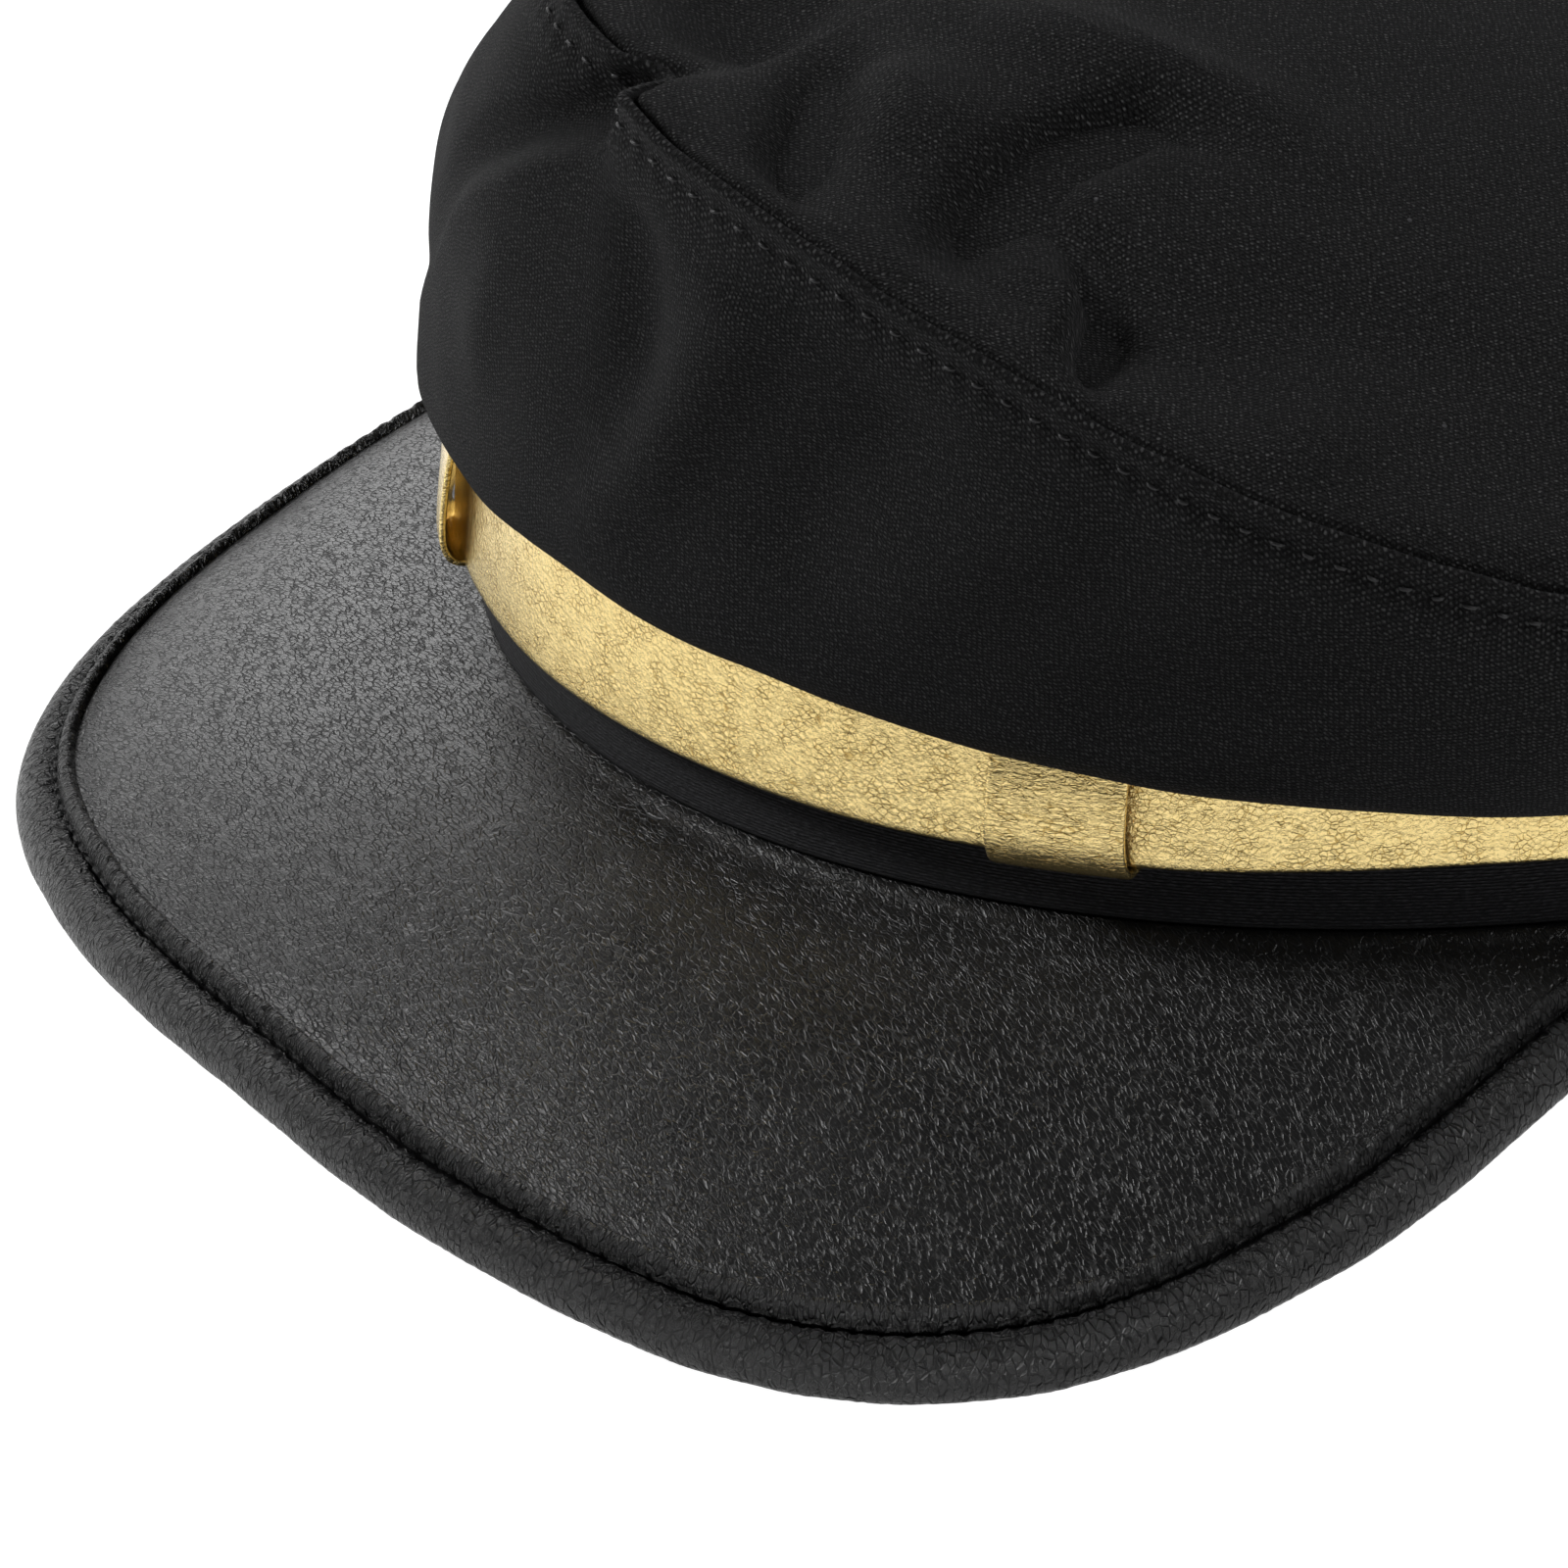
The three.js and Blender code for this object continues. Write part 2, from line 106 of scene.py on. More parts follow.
def place(angle, out, up):
    a = np.radians(angle)
    radius = ovalRadius(angle) + out
    return np.stack(np.broadcast_arrays(radius * np.sin(a), -radius * np.cos(a), up), -1)


def bandFace(up):
    return -band["lean"] * np.maximum(up, 0)


# Unit normals of a grid of points that closes round the head
def gridNormals(points):
    down = np.gradient(points, axis=1)
    around = np.roll(points, -1, 0) - np.roll(points, 1, 0)
    n = np.cross(around, down)
    return n / np.maximum(np.linalg.norm(n, axis=-1, keepdims=True), 1e-9)


# A smooth unevenness of about -1 to 1, at a scale in mm
def unevenness(points, scale, seed=0):
    flat = (points.reshape(-1, 3) / scale + seed * seedStep).tolist()
    return np.array([noise.noise(p) for p in flat]).reshape(points.shape[:-1])


# Running length along a row of points, in mm
def runLength(points):
    steps = np.linalg.norm(np.diff(points, axis=0), axis=1)
    return np.concatenate([[0], np.cumsum(steps)])


# Ridges (height above 0) and valleys (below 0) that follow lines drawn over a surface in flat mm
def folds(x, y, table):
    total = np.zeros(np.broadcast(x, y).shape)
    for fold in table:
        path = np.array(fold["path"], float)
        run = runLength(path)
        near, spot = np.full(total.shape, 1e9), np.zeros(total.shape)
        for k, ((x0, y0), (x1, y1)) in enumerate(zip(path[:-1], path[1:])):
            dx, dy = x1 - x0, y1 - y0
            t = np.clip(((x - x0) * dx + (y - y0) * dy) / (dx * dx + dy * dy), 0, 1)
            away = np.hypot(x - x0 - t * dx, y - y0 - t * dy)
            spot = np.where(away < near, mix(run[k], run[k + 1], t) / run[-1], spot)
            near = np.minimum(near, away)
        taper = 1 - 0.75 * np.abs(2 * spot - 1) ** 2.5  # each fold fades towards its ends
        total += fold["height"] * taper * np.exp(-((near / fold["width"]) ** 2))
    return total


# A mesh from sections: points[i, j] in mm. Sections can close into a ring, and each section can close too
def skin(name, points, uv, material, ring=False, closed=True, caps=True, poles=None):
    count, size = points.shape[:2]
    i = np.arange(count if ring else count - 1)[:, None]
    j = np.arange(size if closed else size - 1)[None, :]
    i, j = [m.ravel() for m in np.broadcast_arrays(i, j)]
    i2, j2 = (i + 1) % count, (j + 1) % size
    quads = np.stack([i * size + j, i * size + j2, i2 * size + j2, i2 * size + j], 1)
    loops = np.stack([uv[i, j], uv[i, j2], uv[i2, j2], uv[i2, j]], 1)
    if ring:  # the last column runs on instead of jumping back to the first
        last = i == count - 1
        step = uv[-1, :, 0] - uv[-2, :, 0]
        loops[last, 2, 0] = uv[-1, j2[last], 0] + step[j2[last]]
        loops[last, 3, 0] = uv[-1, j[last], 0] + step[j[last]]
    faces = quads.tolist()
    uvs = loops.reshape(-1, 2).tolist()
    verts = toFrame(points.reshape(-1, 3)).tolist()
    if not ring and caps:
        for start, order in ((0, range(size - 1, -1, -1)), ((count - 1) * size, range(size))):
            ids = [start + k for k in order]
            faces.append(ids)
            uvs += [uv.reshape(-1, 2)[k].tolist() for k in ids]
    if poles is not None:  # closes the first and last row of each section into a point
        for pole, row in zip(poles, (0, size - 1)):
            verts.append(toFrame(np.array(pole)).tolist())
            middle = uv[:, row].mean(0).tolist()
            for k in range(count):
                a, b = (k, (k + 1) % count) if row == 0 else ((k + 1) % count, k)
                faces.append([a * size + row, b * size + row, len(verts) - 1])
                uvs += [uv[a, row].tolist(), uv[b, row].tolist(), middle]
    return finishMesh(name, verts, faces, uvs, material)


def finishMesh(name, verts, faces, uvs, material):
    mesh = bpy.data.meshes.new(name)
    mesh.from_pydata(verts, [], faces)
    layer = mesh.uv_layers.new(name="cloth")
    if uvs is not None:
        layer.data.foreach_set("uv", np.array(uvs, np.float32).ravel())
    mesh.polygons.foreach_set("use_smooth", np.ones(len(mesh.polygons), bool))
    mesh.materials.append(material["look"])
    mesh.validate()
    obj = bpy.data.objects.new(name, mesh)
    bpy.context.scene.collection.objects.link(obj)
    turnFacesOut(mesh)
    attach(obj, "root")
    return obj


def turnFacesOut(mesh):
    co = np.empty(len(mesh.vertices) * 3)
    mesh.vertices.foreach_get("co", co)
    co = co.reshape(-1, 3)
    mesh.calc_loop_triangles()
    tri = np.empty(len(mesh.loop_triangles) * 3, int)
    mesh.loop_triangles.foreach_get("vertices", tri)
    a, b, c = co[tri.reshape(-1, 3)].transpose(1, 0, 2)
    if np.einsum("ij,ij->", a, np.cross(b, c)) < 0:
        mesh.flip_normals()
    mesh.update()


# Distances along and across a grid as its uv, in mm
def gridUv(points):
    along = np.linalg.norm(np.diff(points, axis=0), axis=2).mean(1)
    across = np.linalg.norm(np.diff(points, axis=1), axis=2).mean(0)
    u = np.concatenate([[0], np.cumsum(along)])
    v = np.concatenate([[0], np.cumsum(across)])
    return np.stack(np.broadcast_arrays(u[:, None], v[None, :]), -1)


# Short threads laid end to end, each one a capsule whose ends dip into the cloth
def stitchRow(name, centres, alongs, normals, look, material):
    ringCount, sides = look["rings"], look["sides"]
    t = np.linspace(-1, 1, ringCount)
    turn = np.arange(sides) * 2 * math.pi / sides
    half, radius, dip = look["length"] / 2, look["radius"], look["dip"]
    width = radius * np.sqrt(np.maximum(1 - np.abs(t) ** 3.5, 0.02))
    sideways = np.cross(normals, alongs)
    verts, faces = [], []
    for k, (c, a, n, s) in enumerate(zip(centres, alongs, normals, sideways)):
        skew = look["slant"] + random.normal(0, look["wander"])
        a = a * math.cos(skew) + s * math.sin(skew)
        s = np.cross(n, a)
        length = half * (1 + random.normal(0, 0.05))
        spine = c + a * (t * length)[:, None] - n * (dip * t ** 4)[:, None]
        rim = s * np.cos(turn)[:, None] + n * np.sin(turn)[:, None]
        rings = spine[:, None] + rim[None] * width[:, None, None]
        verts.append(rings.reshape(-1, 3))
        first = k * ringCount * sides
        last = first + (ringCount - 1) * sides
        for ring in range(first, last, sides):
            for j in range(sides):
                j2 = (j + 1) % sides
                faces.append([ring + j, ring + j2, ring + sides + j2, ring + sides + j])
        faces.append([first + j for j in range(sides)][::-1])
        faces.append([last + j for j in range(sides)])
    return finishMesh(name, toFrame(np.concatenate(verts)).tolist(), faces, None, material)


# Unit directions along a row of stitches, and the surface's normals squared up to them
def squareUp(ahead, normal):
    ahead = ahead / np.linalg.norm(ahead, axis=1, keepdims=True)
    normal = normal - ahead * (normal * ahead).sum(1, keepdims=True)
    return ahead, normal / np.linalg.norm(normal, axis=1, keepdims=True)


# Nodes: small helpers, so that each finish below reads as its own recipe
def startFinish(name):
    look = bpy.data.materials.new(name)
    look.use_nodes = True
    return look, look.node_tree, look.node_tree.nodes["Principled BSDF"]


# Numbers and colours that stay the same all over a finish, set on the node's own sockets
def setAll(node, values):
    for name, value in values.items():
        node.inputs[name].default_value = value


def put(tree, socket, value):
    if isinstance(value, bpy.types.NodeSocket):
        tree.links.new(value, socket)
    else:
        socket.default_value = value


def calc(tree, operation, *values):
    node = tree.nodes.new("ShaderNodeMath")
    node.operation = operation
    for socket, value in zip(node.inputs, values):
        put(tree, socket, value)
    return node.outputs[0]


def add(tree, first, *others):
    for value in others:
        first = calc(tree, "ADD", first, value)
    return first


def times(tree, a, b):
    return calc(tree, "MULTIPLY", a, b)


def less(tree, a, b):
    return calc(tree, "SUBTRACT", a, b)


# Places on the cloth in mm, stretched along and across it and turned
def clothPlace(tree, stretch=(1, 1, 1), turn=0):
    uv = tree.nodes.new("ShaderNodeUVMap")
    uv.uv_map = "cloth"
    scale = tree.nodes.new("ShaderNodeMapping")
    setAll(scale, {"Scale": stretch, "Rotation": (0, 0, math.radians(turn))})
    tree.links.new(uv.outputs["UV"], scale.inputs["Vector"])
    return scale.outputs["Vector"]


# The same places pulled about by a noise, so that no pattern runs straight
def pulledPlace(tree, stretch, turn, scale, detail, reach):
    shift = tree.nodes.new("ShaderNodeTexNoise")
    put(tree, shift.inputs["Vector"], clothPlace(tree))
    setAll(shift, {"Scale": scale, "Detail": detail})
    pulled = tree.nodes.new("ShaderNodeVectorMath")
    pulled.operation = "MULTIPLY_ADD"
    put(tree, pulled.inputs[0], shift.outputs["Color"])
    pulled.inputs[1].default_value = (reach, reach, 0)
    put(tree, pulled.inputs[2], clothPlace(tree, stretch, turn))
    return pulled.outputs[0]


def noiseValue(tree, vector, scale, detail=2, roughness=0.5, distortion=0):
    node = tree.nodes.new("ShaderNodeTexNoise")
    put(tree, node.inputs["Vector"], vector)
    setAll(node, {"Scale": scale, "Detail": detail, "Roughness": roughness, "Distortion": distortion})
    return node.outputs["Fac"]


def cells(tree, vector, scale, feature="DISTANCE_TO_EDGE"):
    node = tree.nodes.new("ShaderNodeTexVoronoi")
    node.feature = feature
    put(tree, node.inputs["Vector"], vector)
    node.inputs["Scale"].default_value = scale
    return node.outputs["Distance"]


def ramp(tree, value, stops):
    node = tree.nodes.new("ShaderNodeValToRGB")
    put(tree, node.inputs["Fac"], value)
    while len(node.color_ramp.elements) < len(stops):
        node.color_ramp.elements.new(0.5)
    for element, (position, colour) in zip(node.color_ramp.elements, stops):
        element.position = position
        element.color = (*colour, 1) if len(colour) == 3 else (colour[0],) * 3 + (1,)
    return node.outputs["Color"]


def bump(tree, height, depth):
    node = tree.nodes.new("ShaderNodeBump")
    node.inputs["Distance"].default_value = depth / 1000
    put(tree, node.inputs["Height"], height)
    return node.outputs["Normal"]


# A fine knit: one raised dash for each loop, wales along u and courses along v. Each dash is painted lighter as a
# painted highlight, with random painted glints on some, and all the greys are scaled by a painted light level.
def knitLook(name, turn, contrast, paintedLightLevel):
    look, tree, shader = startFinish(name)
    uv = clothPlace(tree, turn=turn)
    wobble = times(tree, noiseValue(tree, uv, 0.3, 3), 2.6)
    split = tree.nodes.new("ShaderNodeSeparateXYZ")
    tree.links.new(uv, split.inputs[0])
    u = add(tree, calc(tree, "DIVIDE", split.outputs[0], knit["wale"]), wobble)
    everyOther = times(tree, calc(tree, "FLOOR", u), 0.5)
    v = add(tree, calc(tree, "DIVIDE", split.outputs[1], knit["course"]), wobble, everyOther)
    across = calc(tree, "DIVIDE", less(tree, calc(tree, "FRACT", u), 0.5), 0.5)
    along = calc(tree, "DIVIDE", less(tree, calc(tree, "FRACT", v), 0.5), 0.38)
    reach = add(tree, times(tree, across, across), times(tree, along, along))
    dash = calc(tree, "MAXIMUM", less(tree, 1, reach), 0)
    fuzz = noiseValue(tree, uv, 2.6, 4, 0.85)
    height = add(tree, times(tree, dash, 0.5), times(tree, fuzz, 1.9))
    cloud = noiseValue(tree, uv, 0.045, 3, 0.6)
    # painted glints: rare bright spots on the loops' dashes, standing in for light caught by the thread
    paintedGlint = calc(tree, "POWER", noiseValue(tree, uv, 2.4, 2, 0.8), 4)
    paintedHighlight = add(tree, times(tree, paintedGlint, contrast * 7), contrast * 0.05)
    rough = times(tree, less(tree, fuzz, 0.5), 2)
    worn = times(tree, less(tree, cloud, 0.5), 0.15)
    tone = add(tree, times(tree, dash, paintedHighlight), rough, 0.13, worn)
    greys = [(0, 0.002), (0.2, 0.008), (0.5, 0.026), (1, 0.13)]
    # greys scaled by a painted light level: the side panel's copy is painted darker as painted shade, the top's
    # lighter as painted light
    colour = ramp(tree, tone, [(at, (grey * paintedLightLevel,)) for at, grey in greys])
    lint = calc(tree, "LESS_THAN", cells(tree, uv, 0.1, "F1"), 0.02)
    blend = tree.nodes.new("ShaderNodeMix")
    blend.data_type = "RGBA"
    put(tree, blend.inputs["Factor"], times(tree, lint, 0.5))
    put(tree, blend.inputs["A"], colour)
    blend.inputs["B"].default_value = (0.14, 0.14, 0.15, 1)
    put(tree, shader.inputs["Base Color"], blend.outputs["Result"])
    put(tree, shader.inputs["Normal"], bump(tree, height, 0.3))
    setAll(shader, {"Roughness": 0.8, "Specular IOR Level": 0.1, "Sheen Weight": 0.04, "Sheen Roughness": 0.4,
                    "Sheen Tint": (0.8, 0.8, 0.84, 1)})
    return look


# The band's cloth: fine ribs round the head, broken into short dashes. Its colour follows the ribs' height: the
# raised dashes are painted lighter as painted highlights, the hollows darker as painted shade.
def ribbedLook(ribPitch):
    look, tree, shader = startFinish("fine_rib")
    split = tree.nodes.new("ShaderNodeSeparateXYZ")
    tree.links.new(clothPlace(tree), split.inputs[0])
    wobble = noiseValue(tree, clothPlace(tree, (0.15, 1, 1)), 1.4, 2)
    v = add(tree, calc(tree, "DIVIDE", split.outputs[1], ribPitch), wobble)
    rib = calc(tree, "SINE", times(tree, v, 2 * math.pi))
    dash = noiseValue(tree, clothPlace(tree, (1.6, 5.5, 1)), 1, 2, 0.6)
    height = add(tree, times(tree, rib, 0.25), times(tree, dash, 1.6))
    # colour from height: painted highlights on the raised dashes, painted shade in the hollows
    tone = less(tree, times(tree, height, 0.9), 0.4)
    tones = [(0, (0.003, 0.003, 0.0035)), (0.4, (0.0075, 0.0075, 0.009)), (1, (0.06, 0.06, 0.065))]
    put(tree, shader.inputs["Base Color"], ramp(tree, tone, tones))
    put(tree, shader.inputs["Normal"], bump(tree, height, 0.2))
    setAll(shader, {"Roughness": 0.7, "Specular IOR Level": 0.15, "Sheen Weight": 0.03})
    return look


# Twisted thread, a little brighter than the cloth it holds
def threadLook():
    look, tree, shader = startFinish("thread")
    setAll(shader, {"Base Color": (0.015, 0.015, 0.0155, 1), "Roughness": 0.45, "Specular IOR Level": 0.35})
    return look


# Grained leather: small plates parted by thin dull creases that break off, over a finer grain. Its colour follows
# the grain's height, so the creases are painted darker as painted shade.
def blackLeatherLook(name, grain, stretch, depth, rough):
    look, tree, shader = startFinish(name)
    uv = clothPlace(tree)
    pulled = pulledPlace(tree, stretch, 0, 0.8, 2, 0.3)
    broken = times(tree, less(tree, noiseValue(tree, uv, 0.9, 2), 0.4), 2.8)
    plate = add(tree, times(tree, cells(tree, pulled, grain), 6), calc(tree, "MAXIMUM", broken, 0))
    plate = calc(tree, "MINIMUM", plate, 1)
    ridge = noiseValue(tree, pulled, grain * 1.9, 2, 0.6)
    fine = noiseValue(tree, uv, 4, 3, 0.7)
    height = add(tree, times(tree, plate, 0.5), times(tree, ridge, 0.26), times(tree, fine, 0.4))
    broad = noiseValue(tree, uv, 0.09, 3)
    # colour from height: painted shade in the creases and hollows
    tone = add(tree, times(tree, height, 0.5), times(tree, broad, 0.3))
    tones = [(0.2, (0.002, 0.002, 0.002)), (0.55, (0.007, 0.007, 0.0072)), (1, (0.014, 0.014, 0.0145))]
    put(tree, shader.inputs["Base Color"], ramp(tree, tone, tones))
    matt = add(tree, times(tree, broad, 0.06), rough + 0.35)
    put(tree, shader.inputs["Roughness"], less(tree, matt, times(tree, plate, 0.35)))
    put(tree, shader.inputs["Normal"], bump(tree, height, depth))
    setAll(shader, {"Specular IOR Level": 0.42})
    return look


# Metallic leather: a net of fine creases over soft wrinkles. Its colour is dark in the creases, partly foil broken
# there and partly painted shade, and lightens to painted highlights on the wrinkles' crests.
def goldLeatherLook(name, grain, stretch, turn, depth):
    look, tree, shader = startFinish(name)
    uv = clothPlace(tree)
    pulled = pulledPlace(tree, stretch, turn, 1.1, 3, 0.7)
    broken = times(tree, less(tree, noiseValue(tree, uv, 0.4, 2), 0.42), 4)
    net = add(tree, times(tree, cells(tree, pulled, grain), 14), calc(tree, "MAXIMUM", broken, 0))
    net = calc(tree, "MINIMUM", net, 1)
    wrinkle = noiseValue(tree, pulled, 2.2, 3, 0.6, 0.6)
    height = add(tree, times(tree, net, 0.12), times(tree, wrinkle, 0.65))
    broad = noiseValue(tree, uv, 0.12, 3)
    # colour: creases dark, partly broken foil and partly painted shade; wrinkle crests painted bright as painted
    # highlights
    tone = add(tree, times(tree, net, 0.4), times(tree, wrinkle, 0.32), times(tree, broad, 0.12))
    golds = [(0.15, (0.42, 0.26, 0.07)), (0.42, (0.62, 0.45, 0.16)), (0.7, (0.86, 0.68, 0.31))]
    put(tree, shader.inputs["Base Color"], ramp(tree, tone, golds))
    put(tree, shader.inputs["Roughness"], add(tree, times(tree, broad, 0.12), 0.12))
    put(tree, shader.inputs["Normal"], bump(tree, height, depth))
    setAll(shader, {"Metallic": 0.95})
    return look


print("finishes")
knit = {"wale": 0.42, "course": 0.36}  # one loop, mm
# one knit in two copies: the side painted darker as painted shade, the top painted lighter as painted light, with
# stronger painted glints on the side
sideKnit = {"look": knitLook("fine_knit_side", turn=0, contrast=1.15, paintedLightLevel=0.45), "slot": "knit"}
topKnit = {"look": knitLook("fine_knit_top", turn=-56, contrast=0.8, paintedLightLevel=0.86), "slot": "knit"}
ribbed = {"look": ribbedLook(ribPitch=0.29), "slot": "ribbed_band"}
thread = {"look": threadLook(), "slot": "knit"}
blacks = [  # name, creases to a mm, stretch, depth in mm, roughness
    ("black_grain", 2.1, (0.5, 1.4, 1), 0.13, 0.25),
    ("black_ridge", 1.2, (1.8, 0.6, 1), 0.7, 0.22),
    ("black_pebble", 1.1, (1.4, 0.9, 1), 0.6, 0.24),
]
golds = [  # name, creases to a mm, stretch, turn in degrees, depth in mm
    ("gold_grain", 1.35, (1.1, 1.4, 1), 25, 0.12),
    ("gold_stretched", 1.4, (0.55, 1.6, 1), 0, 0.12),
]
blackLeather, blackRidge, blackEdge = [{"look": blackLeatherLook(*row), "slot": "black_leather"} for row in blacks]
goldLeather, goldLoop = [{"look": goldLeatherLook(*row), "slot": "gold_leather"} for row in golds]

# The crown's panels: how the side stands out at each angle, and how the far half of its front has slumped
crown = {
    "wall": 2, "topWall": 1.8, "seat": 18.9, "tuckOut": 2.3, "tuckUp": 20.4, "tuckRound": 0.8,
    "lip": 0.8, "roll": 0.9, "fullness": 0.75, "bevel": 0.6, "flatPerDegree": 1.8,
    "columns": 960,  # sections round the head
    "seamRows": [0, 0.12, 0.3, 0.55, 0.85, 1.1, 1.35, 1.6, 1.8, 2.0, 2.2, 2.45, 2.75, 3.15, 3.7, 4.4, 5.3],
    "sideRows": 44, "topRows": 42,
    "edgeRound": 0.5, "cord": 0.35, "groove": 0.16, "grooveAt": 2.1, "pucker": 0.2, "stitchPitch": 2.6,
    "edgeRise": 1.75,  # the side's sewn edge stands up as a low ridge, and the top panel dives down behind it
    "dive": 2.0, "diveWidth": 0.5, "dip": 0.8, "dipWidth": 6, "topInset": 1.1,
}
crownRows = {
    "angle": [0, 8, 16, 25, 34, 43, 52, 72, 100, 140, 180],
    "droop": [19.2, 18.2, 16.9, 15, 13.6, 12.4, 11.8, 13, 13, 12.6, 12.6],
    "belly": [2.4, 2.6, 3.1, 4.4, 6.2, 8, 9.4, 11, 12, 12, 12],
    "seamOut": [-1, 1.5, 3, 5, 7, 8.5, 9.3, 10.5, 11, 11, 11],
    "seamUp": [62.2, 59.6, 55.4, 49, 42, 36.3, 32, 27.5, 25, 24.5, 25.5],
}
slumpRows = {
    "angle": [0, 2.5, 5, 9, 16, 26, 40, 56, 76, 100, 125],
    "inwards": [0, 7.4, 5.2, 6.2, 10.2, 15.4, 13.4, 8, 4, 0.6, 0],
    "up": [0, -3.2, -2.2, 0.6, 4.4, 6.2, 6, 5, 3, 1, 0],
}
fold = {"seamAngle": 4, "lowAngle": -21, "lowShare": 0.22, "lowSpread": 2.2, "lowStrength": 0.4}
lobe = {"angle": -22, "spread": 13, "inwards": 1.5, "fullShare": 0.5}
top = {"centreBack": 6, "centreUp": 53, "puff": 5, "roundness": 0.75}
valley = {"x": 1, "y": -97, "drift": -0.28, "length": 42, "nearWidth": 5, "farWidth": 13, "depth": 6}
dimple = {"x": 40, "y": -84, "length": 15, "width": 7, "depth": 2.2, "turn": 35}

# Soft folds over the side, drawn as (angle, up), and over the top panel, drawn as (x, y)
sideFolds = [
    {"path": [(4.5, 58), (5.4, 49), (5.6, 42), (4, 34)], "width": 4.2, "height": -1.9},
    {"path": [(15.5, 55), (12, 49.5), (9.4, 41.7), (6.4, 33), (3, 26)], "width": 4.2, "height": 2.2},
    {"path": [(22, 47), (17, 38), (13.5, 28)], "width": 4.5, "height": -1.3},
    {"path": [(-4, 46), (-8.1, 30.4)], "width": 3.5, "height": 0.7},
    {"path": [(30, 42), (24, 34), (18, 26)], "width": 5, "height": 1.1},
    {"path": [(44, 30), (34, 24), (27, 21)], "width": 4.5, "height": -0.9},
    {"path": [(62, 25), (55, 18)], "width": 5, "height": 0.8},
]
topFolds = [
    {"path": [(8.2, -84), (14.6, -90.1), (21, -97.4), (26, -101)], "width": 3, "height": -3},
    {"path": [(11.8, -83), (19, -84.4), (23, -87)], "width": 4.2, "height": 2},
    {"path": [(9.9, -71.9), (15.5, -67.8), (25.9, -60.9), (33, -56)], "width": 4.6, "height": 2.4},
    {"path": [(31, -61), (26.5, -67), (26.8, -76), (29.5, -85), (32, -90)], "width": 2.8, "height": -3.6},
    {"path": [(31, -80.5), (36.8, -80.4), (42.2, -83.1), (48.7, -89.8)], "width": 1.9, "height": -2.7},
    {"path": [(33.5, -85.5), (37.6, -83.9), (42, -86.5)], "width": 2.2, "height": 2.4},
    {"path": [(52, -73), (61, -76.5)], "width": 5, "height": 1.2},
    {"path": [(60, -52), (50, -64), (44, -72)], "width": 5, "height": -1},
]


# How far past the slump's crest an angle lies
def pastFold(angle, share):
    down = np.minimum((1 - share) / (1 - fold["lowShare"]), 1)
    past = mix(fold["seamAngle"], fold["lowAngle"], down) - angle
    return np.maximum(past, 0) / mix(1, fold["lowSpread"], down)


def slumpIn(angle, share):
    strength = mix(share ** 3, share, fold["lowStrength"])
    far = lobe["inwards"] * hump(angle, lobe["angle"], lobe["spread"]) * ease(share, 0, lobe["fullShare"])
    return strength * column(slumpRows, "inwards", pastFold(angle, share)) + far


def seamOut(angle):
    return column(crownRows, "seamOut", angle) - slumpIn(angle, 1.0)


def seamUp(angle):
    return column(crownRows, "seamUp", angle) + column(slumpRows, "up", pastFold(angle, 1.0))


# The side panel's face between its lowest roll (share 0) and the seam (share 1)
def sidePoint(angle, share):
    lowest = crown["tuckOut"] + crown["lip"]
    edge = column(crownRows, "seamOut", angle)
    bulge = column(crownRows, "belly", angle) - mix(lowest, edge, 0.5)
    roll = crown["roll"] * ease(share, 0, 0.07) * (1 - share)
    out = mix(lowest, edge, share) + bulge * np.sin(np.pi * share ** crown["fullness"]) + roll
    up = mix(column(crownRows, "droop", angle), seamUp(angle), share)
    return place(angle, out - slumpIn(angle, share), up)


# The side's face in rows by distance from the seam, smooth as cut cloth, before the sewn edge is shaped
def sideRows(angle):
    a = angle[:, None]
    droop = column(crownRows, "droop", angle)
    shares = np.linspace(1, 0.06, 230)
    face = sidePoint(a, shares[None, :])
    start = place(angle, crown["tuckOut"] + 0 * angle, droop + 1.5 * crown["tuckRound"])
    under = place(angle, crown["tuckOut"] + 0 * angle, droop - 0.35)
    ahead = place(angle, crown["tuckOut"] + 0.9 + 0 * angle, droop - 0.5)
    t = np.linspace(0, 1, 16)[1:, None, None]
    bottom = (1 - t) ** 3 * face[:, -1] + 3 * (1 - t) ** 2 * t * ahead
    bottom = bottom + 3 * (1 - t) * t * t * under + t ** 3 * start
    line = np.concatenate([face, bottom.transpose(1, 0, 2)], axis=1)
    steps = np.linalg.norm(np.diff(line, axis=1), axis=2)
    length = np.concatenate([np.zeros((len(angle), 1)), np.cumsum(steps, 1)], 1)
    near = np.array(crown["seamRows"])
    rest = np.linspace(0, 1, crown["sideRows"] + 1)[1:]
    rows = np.concatenate([np.broadcast_to(near, (len(angle), len(near))),
                           near[-1] + (length[:, -1:] - near[-1]) * rest], axis=1)
    points = np.empty((len(angle), rows.shape[1], 3))
    for k in range(len(angle)):
        for axis in range(3):
            points[k, :, axis] = np.interp(rows[k], length[k], line[k, :, axis])
    return points, rows


# The height of the sewn edge above the cloth: its corded ridge, and the shallow stitched groove with puckers
def sewnEdge(distance, phase):
    r = crown["edgeRound"]
    near = np.clip(r - distance, 0, r)
    drop = r - np.sqrt(np.maximum(r * r - near * near, 0))
    pull = 0.5 + 0.5 * np.cos(2 * np.pi * phase)
    height = crown["cord"] * hump(distance, 0.55, 0.5)
    height = height - crown["groove"] * hump(distance, crown["grooveAt"], 0.6)
    height -= crown["pucker"] * pull ** 2 * hump(distance, crown["grooveAt"] + 0.2, 1.3)
    return height - drop


